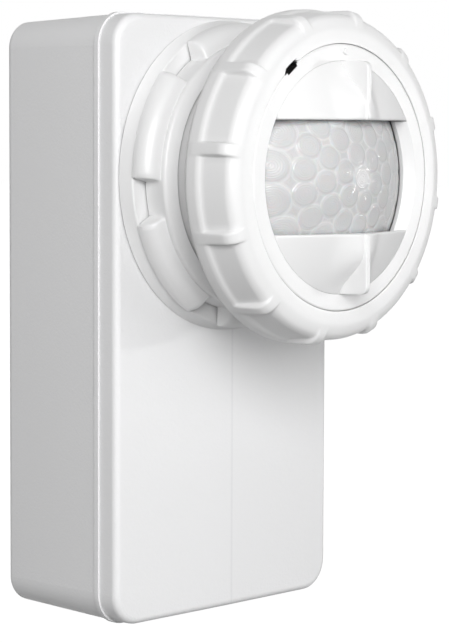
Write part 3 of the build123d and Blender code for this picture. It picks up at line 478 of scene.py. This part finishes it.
knit_x, knit_half, knit_fade = 0.0013, 0.0001, 0.0003
cover_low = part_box("front_cover")[0]
mark_box(
    finishes["housing_white"],
    (knit_x - knit_half, cover_low.y - 0.001, cover_low.z),
    (knit_x + knit_half, cover_low.y + 0.0003, head_z),
    knit_fade,
    (0.82, 0.82, 0.83),
)
print("knit line at x", knit_x / MM, "mm")

# %% [markdown]
# ## Finishes with a pattern of their own
# A few parts inside the case show how they are made: the core is a stack of thin sheets, the coil is wound
# and taped in bands, the boards have copper tracks under a green coat, and the fuse is a ceramic tube with
# metal caps. Waves, bricks and a sharp step over the piece's own coordinates draw these.


# %% Helpers for a pattern
def add_bump(material, height, depth):
    """Lets a height's socket bend the light on a finish, on top of its grain."""
    tree = material.node_tree
    bump = tree.nodes.new("ShaderNodeBump")
    bump.inputs["Distance"].default_value = depth
    tree.links.new(height, bump.inputs["Height"])
    tree.links.new(tree.nodes["grain_bump"].outputs["Normal"], bump.inputs["Normal"])
    tree.links.new(bump.outputs["Normal"], tree.nodes["Principled BSDF"].inputs["Normal"])


def add_pattern(material, pattern, colour, depth):
    """Lays another colour over a finish where a pattern's socket is high, and raises it there."""
    tint_over(material, pattern, colour)
    add_bump(material, pattern, depth)


def add_bands(material, axis, size, colour, depth):
    """Lays straight bands across one axis of the piece."""
    tree = material.node_tree
    wave = tree.nodes.new("ShaderNodeTexWave")
    wave.bands_direction = axis
    fill_sockets(tree, (wave.inputs["Vector"], wave.inputs["Scale"]), (own_place(tree), size))
    add_pattern(material, wave.outputs["Fac"], colour, depth)


# %% The core and the coil
finishes["core_steel"] = make_finish("core_steel", (0.16, 0.16, 0.18), (0.1, 0.1, 0.12), 0.35, wear=0.9)
add_bands(finishes["core_steel"], "Z", 320, (0.3, 0.3, 0.32), 0.00003)
add_bands(finishes["coil_tape"], "Y", 90, (0.66, 0.5, 0.08), 0.00008)
print("banded finishes", ["core_steel", "coil_tape"])

# %% The boards
board_tree = finishes["board_green"].node_tree
board_turn = board_tree.nodes.new("ShaderNodeMapping")
board_turn.inputs["Rotation"].default_value = (math.radians(90), 0, 0)
board_tree.links.new(own_place(board_tree), board_turn.inputs["Vector"])
tracks = board_tree.nodes.new("ShaderNodeTexBrick")
tracks.inputs["Scale"].default_value = 180
tracks.inputs["Mortar Size"].default_value = 0.06
tracks.inputs["Mortar Smooth"].default_value = 0.3
board_tree.links.new(board_turn.outputs["Vector"], tracks.inputs["Vector"])
add_pattern(finishes["board_green"], tracks.outputs["Fac"], (0.05, 0.28, 0.12), 0.00004)
print("board finish with", len(board_tree.nodes), "nodes")

# %% The fuse
fuse_cap = 0.0028
fuse_low, fuse_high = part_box("fuse")
fuse_tree = finishes["fuse_body"].node_tree
fuse_split = fuse_tree.nodes.new("ShaderNodeSeparateXYZ")
fuse_tree.links.new(own_place(fuse_tree), fuse_split.inputs["Vector"])
fuse_offset = math_node(fuse_tree, "SUBTRACT", fuse_split.outputs["Z"], (fuse_low.z + fuse_high.z) / 2)
fuse_distance = math_node(fuse_tree, "ABSOLUTE", fuse_offset)
caps_start = (fuse_high.z - fuse_low.z) / 2 - fuse_cap
fuse_caps = math_node(fuse_tree, "GREATER_THAN", fuse_distance, caps_start)
add_pattern(finishes["fuse_body"], fuse_caps, (0.62, 0.62, 0.62), 0.0002)
fuse_tree.links.new(fuse_caps, fuse_tree.nodes["Principled BSDF"].inputs["Metallic"])
print("fuse caps start", round(caps_start / MM, 2), "mm from its middle")

# %% [markdown]
# ## The lens's finish
# The lens is thin milky plastic. It lets some light into the head, so it looks greyer than the solid white
# round it. The moulded cells carry an attribute that is high on their rims, and the plastic is thicker and
# whiter there. Fine rings inside each cell, which focus the heat of a passer-by, are too small to model,
# so a second attribute, the distance from the cell's middle, drives a wave that only bends the light.

# %% The lens's finish
ring_spacing, ring_depth = 0.42, 0.000011
lens_film = make_finish(
    "lens_film",
    (0.6, 0.6, 0.605),
    (0.55, 0.55, 0.56),
    0.2,
    1500,
    0.000004,
    (0.75, 0.75, 0.76),
    0.2,
    Subsurface_Weight=0.15,
    Subsurface_Scale=0.002,
)
lens_tree = lens_film.node_tree
cell_rim = lens_tree.nodes.new("ShaderNodeAttribute")
cell_rim.attribute_name = "cell_rim"
tint_over(lens_film, cell_rim.outputs["Fac"], (0.88, 0.88, 0.88))
cell_way = lens_tree.nodes.new("ShaderNodeAttribute")
cell_way.attribute_name = "cell_way"
ring_phase = math_node(lens_tree, "MULTIPLY", cell_way.outputs["Fac"], 2 * math.pi / ring_spacing)
add_bump(lens_film, math_node(lens_tree, "SINE", ring_phase), ring_depth)
finishes["lens_film"] = lens_film
print("finishes", len(finishes))

# %% [markdown]
# ## The dark key slot
# At the upper left, a small deep slot lies half in the bezel and half in the collar's mouth. Its walls shade
# each other, so both halves are darkened inside a small box. The bezel gets a copy of the head's finish for
# its half, and the collar's half is opened later, when the collar is modelled.

# %% The bezel's finish, with its slot
slot_turn, slot_radius, slot_outer = 126.0, 24.6, 25.35
slot_across, slot_up, slot_skin, slot_deep = 0.0016, 0.0014, 0.00012, 0.0026
slot_x = slot_radius * math.cos(math.radians(slot_turn)) * MM
slot_z = head_z + slot_radius * math.sin(math.radians(slot_turn)) * MM
head_front = face_y - ahead_of("front_collar")[1] * MM
bezel_finish = finishes["head_white"].copy()
bezel_finish.name = "bezel_white"
for slotted in (bezel_finish, finishes["head_white"]):
    mark_box(
        slotted,
        (slot_x - slot_across, head_front + slot_skin, slot_z - slot_up),
        (slot_x + slot_across, head_front + slot_deep, slot_z + slot_up),
        0.0001,
        (0.01, 0.01, 0.01),
    )
print("slot at", round(slot_x / MM, 2), round(slot_z / MM, 2), "mm")

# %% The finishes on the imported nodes
slots = {row["node"]: row["material_slot"] for row in frame["record"]["subparts"]}
for name, node in nodes.items():
    node.data.materials.clear()
    node.data.materials.append(bezel_finish if name == "bezel" else finishes[slots[name]])
print("nodes with a finish", sum(1 for node in nodes.values() if node.data.materials))

# %% [markdown]
# ## Turning sections
# Nearly every piece of the head was shaped about an axis, so it is made as on a lathe: a closed outline is
# drawn beside the axis, its corners are rounded with a vertex bevel, and it is spun. The spin goes in
# uneven stretches, so that edges fall exactly where a rib or a lug begins and ends. Afterwards the points
# in those stretches are pushed out, and the surface flows from one form into the next like a moulding.

# %% Drawing and turning a section
weld = 0.0005


def draw_line(bm, places):
    """Draws a line through places of (radius, ahead) in the XZ plane. Gives its vertices."""
    verts = [bm.verts.new((radius, 0, ahead)) for radius, ahead in places]
    for first, second in zip(verts, verts[1:]):
        bm.edges.new((first, second))
    return verts


def draw_section(bm, corners):
    """Draws a closed outline in the XZ plane. Each corner is (radius, ahead, setback of its rounding)."""
    verts = draw_line(bm, [(radius, ahead) for radius, ahead, setback in corners])
    bm.edges.new((verts[-1], verts[0]))
    for vert, (radius, ahead, setback) in zip(verts, corners):
        if setback:
            bmesh.ops.bevel(
                bm, geom=[vert], offset=setback, segments=6, profile=0.5, affect="VERTICES", material=-1
            )


def divide_edges(bm, longest):
    """Divides each edge that is longer than a limit into equal parts."""
    for edge in list(bm.edges):
        cuts = int(edge.calc_length() / longest)
        if cuts:
            bmesh.ops.subdivide_edges(bm, edges=[edge], cuts=cuts)


def spin(bm, geometry, degrees, steps, centre=(0, 0, 0), axis=(0, 0, 1), climb=0.0):
    """Spins geometry about an axis, with a climb at each step. Gives the last copy of what was spun."""
    spun = bmesh.ops.spin(
        bm,
        geom=geometry,
        cent=centre,
        axis=axis,
        dvec=(0, 0, climb),
        angle=math.radians(degrees),
        steps=steps,
        use_merge=False,
        use_duplicate=False,
    )
    return spun["geom_last"]


def turn_section(bm, stretches, start=0.0):
    """Spins all that was drawn about Z, in stretches of (degrees, steps) that add up to a full turn."""
    first_turn = Matrix.Rotation(math.radians(start), 3, "Z")
    bmesh.ops.rotate(bm, verts=bm.verts, cent=(0, 0, 0), matrix=first_turn)
    geometry = bm.verts[:] + bm.edges[:]
    for degrees, steps in stretches:
        geometry = spin(bm, geometry, degrees, steps)
    bmesh.ops.remove_doubles(bm, verts=bm.verts, dist=weld)
    bmesh.ops.recalc_face_normals(bm, faces=bm.faces)


# %% Soft forms, and how far a point is from a rib
def smooth_step(value):
    """A soft ramp that is 0 below 0 and 1 above 1."""
    value = min(max(value, 0.0), 1.0)
    return value * value * (3 - 2 * value)


def round_off(gap, radius):
    """How far a rounded edge lies below the flat, at a distance inside the edge."""
    short = min(max(radius - gap, 0), radius)
    return radius - math.sqrt(radius**2 - short**2)


def angle_of(vert):
    """The angle of a vertex about Z, in degrees."""
    return math.degrees(math.atan2(vert.co.y, vert.co.x))


def turn_apart(angle, phase, pitch):
    """How far an angle is from the nearest of the places that start at a phase and repeat at a pitch."""
    return abs((angle - phase + pitch / 2) % pitch - pitch / 2)


def push_out(vert, crest, share):
    """Moves a vertex away from Z by a share of its way to a crest, and never inwards."""
    radius = vert.co.xy.length
    vert.co.xy *= 1 + share * max(crest - radius, 0) / radius


# %% Finishing a piece
def finish_piece(bm, name, place, body, slot_name, stands_for, crease):
    """Carries a bmesh onto the part, shades it smooth up to a crease, and gives it its body and finish."""
    bmesh.ops.transform(bm, matrix=place, verts=bm.verts)
    mesh = bpy.data.meshes.new(name)
    bm.to_mesh(mesh)
    bm.free()
    mesh.shade_smooth()
    mesh.set_sharp_from_angle(angle=math.radians(crease))
    mesh.materials.append(finishes[slot_name])
    piece = bpy.data.objects.new(name, mesh)
    bpy.context.scene.collection.objects.link(piece)
    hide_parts(*stands_for)
    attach(piece, body)
    print(name, len(mesh.polygons), "faces")


# %% [markdown]
# ## The front collar
# The collar is the screw ring that holds the lens head. Its outside has a thick rounded rim behind and a
# lower band that rounds off to the front, and twelve grip ribs cross the band. The section gives the rim
# and the band. Each rib is a stretch of the turn whose points move out to one radius, with short flanks on
# each side, so the ribs' feet and ends melt into the band as they do in a moulded part.

# %% The collar's section
collar_back, collar_lip = ahead_of("front_collar")
collar_bore, mouth_radius, well_radius = 23.3, 24.66, 26.0
mouth_depth, well_depth = 1.7, 7.1
rim_radius, rim_width = 31.1, 3.4
step_radius, step_end = 30.55, 4.2
band_radius, nose_radius, nose_drop = 29.95, 28.3, 1.1
collar = bmesh.new()
draw_section(
    collar,
    [
        (collar_bore, collar_back, 0.3),
        (rim_radius, collar_back, 1.1),
        (rim_radius, collar_back + rim_width, 0.6),
        (step_radius, collar_back + step_end, 0.6),
        (band_radius, collar_lip - nose_drop, 0.95),
        (nose_radius, collar_lip, 1.2),
        (mouth_radius, collar_lip, 0.1),
        (mouth_radius, collar_lip - mouth_depth, 0),
        (well_radius, collar_lip - mouth_depth, 0),
        (well_radius, collar_lip - well_depth, 0),
        (collar_bore, collar_lip - well_depth, 0),
    ],
)
divide_edges(collar, 0.5)
print("collar section", len(collar.verts), "points")

# %% The collar's ribs
rib_count, rib_phase, rib_pitch = 12, 20.0, 30.0
rib_top, rib_foot, rib_middle_radius, rib_least_radius = 0.85, 1.5, 30, 28.0
rib_radius, rib_back_round, rib_front_round = 31.2, 0.9, 3.0
rib_start, rib_end = collar_back + 0.9, collar_lip - 0.1
rib_turn = math.degrees(rib_foot / rib_middle_radius)
crest_turn = math.degrees(rib_top / rib_middle_radius)
gap_turn = rib_pitch / 2 - rib_turn
flank_turn = rib_turn - crest_turn
rib_stretches = [(gap_turn, 6), (flank_turn, 5), (2 * crest_turn, 4), (flank_turn, 5), (gap_turn, 6)]
turn_section(collar, rib_stretches * rib_count, start=rib_phase - rib_pitch / 2)
for vert in collar.verts:
    if vert.co.xy.length > rib_least_radius and rib_start <= vert.co.z <= rib_end:
        apart = math.radians(turn_apart(angle_of(vert), rib_phase, rib_pitch))
        share = smooth_step((rib_foot - apart * rib_middle_radius) / (rib_foot - rib_top))
        crest = rib_radius
        crest -= round_off(vert.co.z - rib_start, rib_back_round)
        crest -= round_off(rib_end - vert.co.z, rib_front_round)
        push_out(vert, crest, share)
print("a rib is", round(2 * rib_top, 2), "mm wide on top")

# %% The collar's half of the key slot
slot_half_turn, slot_reach, slot_depth = 3.2, 24.8, 1.8
for vert in collar.verts:
    if vert.co.xy.length < slot_reach and vert.co.z > collar_lip - slot_depth:
        if abs(angle_of(vert) - slot_turn) < slot_half_turn:
            vert.co.xy *= slot_outer / vert.co.xy.length
finish_piece(collar, "collar_moulding", head_place, "front_collar", "head_white", ["front_collar"], 60)

# %% [markdown]
# ## The lock ring
# Behind the collar lies a lower ring with six long lugs. A lug is a quarter round that falls forward to
# the ring, with short soft walls at its ends. It is made in the same way as the collar: the plain ring is
# turned first, and the points between a lug's ends move out to the lug's own outline.

# %% The lock ring's section
ring_start, ring_end = ahead_of("lock_ring")
ring_bore, ring_radius, ring_slope = 23.3, 25.6, 1.2
lock_ring = bmesh.new()
draw_section(
    lock_ring,
    [
        (ring_bore, ring_start, 0.2),
        (ring_radius, ring_start, 0),
        (ring_radius, ring_end - ring_slope, 0.5),
        (ring_bore, ring_end, 0),
    ],
)
divide_edges(lock_ring, 0.3)
print("lock ring section", len(lock_ring.verts), "points")

# %% The lock ring's lugs
lug_count, lug_phase, lug_pitch, lug_half = 6, 39.0, 60.0, 23.0
lug_centre, lug_round, lug_soft = ring_start + 0.3, 3.5, 1.0
lug_middle_radius, lug_least_radius = 28, 25.0
lug_turn = math.degrees(lug_soft / lug_middle_radius)
open_turn = lug_pitch / 2 - lug_half
back_turn = 2 * lug_half - 2 * lug_turn
lug_stretches = [(open_turn, 4), (lug_turn, 5), (back_turn, 20), (lug_turn, 5), (open_turn, 4)]
turn_section(lock_ring, lug_stretches * lug_count, start=lug_phase - lug_pitch / 2)
for vert in lock_ring.verts:
    if vert.co.xy.length > lug_least_radius and vert.co.z <= lug_centre + lug_round:
        apart = turn_apart(angle_of(vert), lug_phase, lug_pitch)
        drop = max(vert.co.z - lug_centre, 0)
        crest = ring_radius + math.sqrt(lug_round**2 - drop**2)
        push_out(vert, crest, smooth_step((lug_half - apart) / lug_turn))
bmesh.ops.remove_doubles(lock_ring, verts=lock_ring.verts, dist=weld)
finish_piece(lock_ring, "lock_ring_moulding", head_place, "lock_ring", "head_white", ["lock_ring"], 60)

# %% [markdown]
# ## The lens
# The lens is a shallow dome with a flat foot. Its front is divided into small round lenses that lie in
# rings about the middle: one, six, twelve, then two rings of eighteen. Each is a low pillow with a soft
# edge. The dome's section is drawn by spinning single points into arcs, and turned in many fine steps.
# Then every front point finds the cell that it lies in, and rises by that cell's pillow.

# %% The dome's section
lens_start, lens_apex = ahead_of("lens_dome")
foot_height, foot_radius, flange_radius, lens_wall = 1.0, 21.2, 24.0, 1.0
lens_foot = lens_start + foot_height
lens_rise = lens_apex - lens_foot
lens_radius = (foot_radius**2 + lens_rise**2) / (2 * lens_rise)
lens_centre = lens_apex - lens_radius
cell_height = 0.16
print("lens radius", round(lens_radius, 2), "mm")


def spin_arc(bm, radius, degrees, steps):
    """Spins one point at the dome's pole into an arc about the dome's centre. Gives the last point."""
    pole = bm.verts.new((0, 0, lens_centre + radius))
    last = spin(bm, [pole], degrees, steps, centre=(0, 0, lens_centre), axis=(0, 1, 0))
    return next(item for item in last if isinstance(item, bmesh.types.BMVert))


lens = bmesh.new()
outer_turn = math.degrees(math.asin(foot_radius / lens_radius))
inner_turn = math.degrees(math.acos((lens_foot - lens_centre) / (lens_radius - lens_wall)))
outer_end = spin_arc(lens, lens_radius - cell_height, outer_turn, 88)
inner_end = spin_arc(lens, lens_radius - lens_wall, inner_turn, 12)
flange_verts = [
    outer_end,
    lens.verts.new((flange_radius, 0, lens_foot)),
    lens.verts.new((flange_radius, 0, lens_start)),
    lens.verts.new((inner_end.co.x, 0, lens_start)),
    inner_end,
]
for first, second in zip(flange_verts, flange_verts[1:]):
    lens.edges.new((first, second))
print("section ends at", [round(value, 2) for value in outer_end.co])
turn_section(lens, [(360, 320)])

# %% Where the cells are
cell_rings = [
    (0.0, 1, 0.0, 2.45),
    (4.45, 6, 45.0, 2.5),
    (8.6, 12, 4.5, 2.45),
    (12.85, 18, 12.7, 2.55),
    (18.3, 18, 12.7, 3.4),
]
cells = []
for distance, count, phase, size in cell_rings:
    for k in range(count):
        cell_angle = math.radians(phase + 360 * k / count)
        cells.append((distance * math.cos(cell_angle), distance * math.sin(cell_angle), size))
print("cells", len(cells))

# %% The cells on the lens
pillow_flat, foot_fade = 0.68, 0.6
rim_start, rim_rise, rim_end, rim_fall, rim_strength = 0.84, 0.08, 0.98, 0.1, 0.3
rim_layer = lens.verts.layers.float.new("cell_rim")
way_layer = lens.verts.layers.float.new("cell_way")
for vert in lens.verts:
    from_axis = vert.co.xy.length
    outward = vert.co - Vector((0, 0, lens_centre))
    if vert.co.z > lens_foot and outward.length > lens_radius - lens_wall / 2:
        x, y = vert.co.xy
        share, size = min((math.hypot(x - cx, y - cy) / size, size) for cx, cy, size in cells)
        pillow = 1 - smooth_step((share - pillow_flat) / (1 - pillow_flat))
        fade = smooth_step((foot_radius - from_axis) / foot_fade)
        rim = smooth_step((share - rim_start) / rim_rise)
        rim *= 1 - smooth_step((share - rim_end) / rim_fall)
        vert.co += outward.normalized() * cell_height * pillow * fade
        vert[way_layer] = share * size
        vert[rim_layer] = rim * rim_strength
finish_piece(lens, "lens_with_cells", head_place, "lens_head", "lens_film", ["lens_dome"], 60)

# %% [markdown]
# ## The two masks
# Each mask is a piece of a dome with one straight edge, and it hides part of the lens. A thin upright fin
# stands on its middle, with a rounded outer corner, and near the straight edge the dome swells up to it. A
# grid is laid over the mask's outline, with its columns crowded at the fin, and each point is raised to
# the height of the dome or the fin. A copy of the grid makes the underside, and the rims are bridged.

# %% The height of a mask at a place
mask_radius, mask_crown, mask_wall, mask_skirt = 21.45, 43.0, 1.2, 2.8
mask_foot = collar_lip
mask_centre = mask_foot - math.sqrt(mask_crown**2 - mask_radius**2)
fin_front, fin_half, fin_outer, fin_corner = mask_foot + 6.35, 0.62, 21.3, 1.4
fin_top_round, fin_flank = 0.3, 0.12
swell_height, swell_reach, swell_start, swell_end = 2.4, 6.0, 14.4, 20.4
fin_rest = 0.1
chord_round = 0.45


def dome_height(x, y):
    """The mask's dome, ahead of the box's face."""
    return mask_centre + math.sqrt(mask_crown**2 - x * x - y * y)


def mask_height(x, y, chord):
    """The dome, its swelling and its fin, with the straight edge at the chord rounded."""
    side = abs(x) - fin_half
    ridge = fin_front - round_off(fin_outer - y, fin_corner) - round_off(-side, fin_top_round)
    height = dome_height(x, y)
    swell = swell_height * smooth_step((swell_end - y) / (swell_end - swell_start))
    swell = min(swell, max(ridge - height - fin_rest, 0))
    height += swell * smooth_step(1 - max(side, 0) / swell_reach)
    if side < fin_flank:
        height = ridge + (height - ridge) * max(side, 0) / fin_flank
    return min(height, ridge) - round_off(y - chord, chord_round)


print("fin's height at its outer end", round(fin_front - dome_height(0, fin_outer), 2), "mm")

# %% The grid's rows and columns
fin_columns = [0.0, 0.2, 0.35, 0.45, 0.54, 0.6, 0.62, 0.74, 0.8, 1.0, 1.3, 1.7, 2.2, 2.85]
edge_rows = [0.0, 0.04, 0.12, 0.24, 0.36, 0.45]
rim_rows = [0.0, 0.12, 0.16, 0.22, 0.32, 0.5, 0.75, 1.0, 1.25, 1.55]
outer_count, middle_count, full_spacing = 20, 18, 4
row_count = len(edge_rows) + middle_count + len(rim_rows)


def column_places(chord):
    """The X of each column: close ones at the fin, and even ones from there to the chord's ends."""
    start, end = fin_columns[-1], math.sqrt(mask_radius**2 - chord**2)
    outer_columns = [start + (end - start) * k / outer_count for k in range(1, outer_count + 1)]
    half = fin_columns + outer_columns
    return [-x for x in half[:0:-1]] + half


def row_place(row, x, chord):
    """The Y of a row at a column: close rows at the straight edge and at the rim, even ones between."""
    rim = math.sqrt(max(mask_radius**2 - x * x, chord**2))
    squeeze = min((rim - chord) / full_spacing, 1)
    if row < len(edge_rows):
        return chord + edge_rows[row] * squeeze
    if row >= row_count - len(rim_rows):
        return rim - rim_rows[row_count - 1 - row] * squeeze
    start, end = chord + edge_rows[-1] * squeeze, rim - rim_rows[-1] * squeeze
    return start + (end - start) * (row - len(edge_rows) + 1) / (middle_count + 1)


print("rows", row_count, "columns", len(column_places(10)))


# %% Building a mask
def build_mask(name, body, node, chord, flip):
    """Lays a grid over the mask, raises it, gives it an underside and closes the rim."""
    columns = column_places(chord)
    bm = bmesh.new()
    bmesh.ops.create_grid(bm, x_segments=len(columns) - 1, y_segments=row_count - 1, size=1)
    for vert in bm.verts:
        column = round((vert.co.x + 1) / 2 * (len(columns) - 1))
        row = round((vert.co.y + 1) / 2 * (row_count - 1))
        x = columns[column]
        y = row_place(row, x, chord)
        height = mask_height(x, y, chord) if row < row_count - 1 else mask_foot
        vert.co = (x, y, max(height, mask_foot))
    under = bmesh.ops.duplicate(bm, geom=bm.verts[:] + bm.edges[:] + bm.faces[:])
    for item in under["geom"]:
        if isinstance(item, bmesh.types.BMVert):
            x, y, height = item.co
            in_skirt = mask_radius - math.hypot(x, y) < mask_wall
            item.co.z = mask_foot - mask_skirt if in_skirt else dome_height(x, y) - mask_wall
    bmesh.ops.bridge_loops(bm, edges=[edge for edge in bm.edges if edge.is_boundary])
    bmesh.ops.remove_doubles(bm, verts=bm.verts, dist=weld)
    bmesh.ops.dissolve_degenerate(bm, edges=bm.edges, dist=weld)
    if flip:
        bmesh.ops.scale(bm, vec=(1, -1, 1), verts=bm.verts)
    bmesh.ops.recalc_face_normals(bm, faces=bm.faces)
    finish_piece(bm, name, head_place, body, "head_white", [node], 50)


build_mask("upper_mask_moulding", "lens_head", "upper_mask", 10.6, False)
build_mask("lower_mask_moulding", "lens_head", "lower_mask", 10.1, True)

# %% [markdown]
# ## The threaded nipple
# The nipple that holds the sensor is a flanged tube with a coarse round thread outside. A thread is a
# zigzag section that climbs one pitch in each turn, so the spin gets a small lift along the axis at every
# step. The run-out at both ends is cut square, and a plain bore and flange close the tube. Each cut is
# filled between its two rims, outside and inside, so that the bore stays open from end to end.

# %% The nipple's place and sizes
nipple_low, nipple_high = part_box("threaded_nipple")
nipple_place = Matrix.Rotation(math.radians(-90), 4, "X") @ Matrix.Scale(MM, 4)
nipple_end, flange_back = nipple_high.y / MM, nipple_low.y / MM
thread_pitch, thread_depth, thread_radius, thread_steps = 1.814, 0.95, 10.5, 72
thread_start, lead_in, fade_in, thread_weld = 0.6, 0.9, 1.2, 0.002
turns_before, crest_start, crest_end = 1.5, 0.4, 0.6
turns_of_thread = int((nipple_end - thread_start) / thread_pitch) + 3
print("thread with", turns_of_thread, "turns before it is cut")

# %% The nipple's thread
zigzag = []
for k in range(turns_of_thread):
    base = thread_start - turns_before * thread_pitch + k * thread_pitch
    zigzag.append((thread_radius - thread_depth, base))
    zigzag.append((thread_radius, base + crest_start * thread_pitch))
    zigzag.append((thread_radius, base + crest_end * thread_pitch))
thread = bmesh.new()
draw_line(thread, zigzag)
climb = thread_pitch / thread_steps
spin(thread, thread.verts[:] + thread.edges[:], 360, thread_steps, climb=climb)
bmesh.ops.remove_doubles(thread, verts=thread.verts, dist=thread_weld)
for height, keep_above in ((thread_start, True), (nipple_end, False)):
    bmesh.ops.bisect_plane(
        thread,
        geom=thread.verts[:] + thread.edges[:] + thread.faces[:],
        plane_co=(0, 0, height),
        plane_no=(0, 0, 1),
        clear_inner=keep_above,
        clear_outer=not keep_above,
    )
for vert in thread.verts:
    limit = thread_radius - max(vert.co.z - (nipple_end - lead_in), 0)
    fade = smooth_step((vert.co.z - thread_start) / fade_in)
    radius = min(thread_radius - (thread_radius - vert.co.xy.length) * fade, limit)
    vert.co.xy = vert.co.xy.normalized() * radius
print("thread", len(thread.faces), "faces")

# %% The nipple's bore and flange
bore_radius, nipple_flange, flange_front = 7.9, 14.0, -4.5
end_step, run_out, soft_edge = 0.4, 0.25, 0.4
plain = bmesh.new()
draw_line(
    plain,
    [
        (thread_radius - lead_in - end_step, nipple_end),
        (bore_radius + soft_edge, nipple_end),
        (bore_radius, nipple_end - soft_edge),
        (bore_radius, flange_back),
        (nipple_flange - soft_edge, flange_back),
        (nipple_flange, flange_back + soft_edge),
        (nipple_flange, flange_front),
        (thread_radius, flange_front),
        (thread_radius, thread_start - run_out),
        (thread_radius - run_out, thread_start),
    ],
)
turn_section(plain, [(360, thread_steps)])
plain_mesh = bpy.data.meshes.new("nipple_plain")
plain.to_mesh(plain_mesh)
plain.free()
thread.from_mesh(plain_mesh)
bpy.data.meshes.remove(plain_mesh)
print("nipple", len(thread.faces), "faces before its ends are closed")

# %% The nipple's ends
level = 0.01
for height in (nipple_end, thread_start):
    open_edges = [edge for edge in thread.edges if edge.is_boundary]
    rims = [edge for edge in open_edges if max(abs(vert.co.z - height) for vert in edge.verts) < level]
    bmesh.ops.triangle_fill(thread, use_beauty=True, edges=rims, normal=(0, 0, 1))
bmesh.ops.remove_doubles(thread, verts=thread.verts, dist=thread_weld)
bmesh.ops.recalc_face_normals(thread, faces=thread.faces)
edges_left = sum(edge.is_boundary for edge in thread.edges)
across_bore = sum(face.calc_center_median().xy.length < bore_radius - 0.1 for face in thread.faces)
print("open edges left", edges_left, "faces across the bore", across_bore)
finish_piece(thread, "nipple_with_thread", nipple_place, "housing", "nipple_nylon", ["threaded_nipple"], 30)
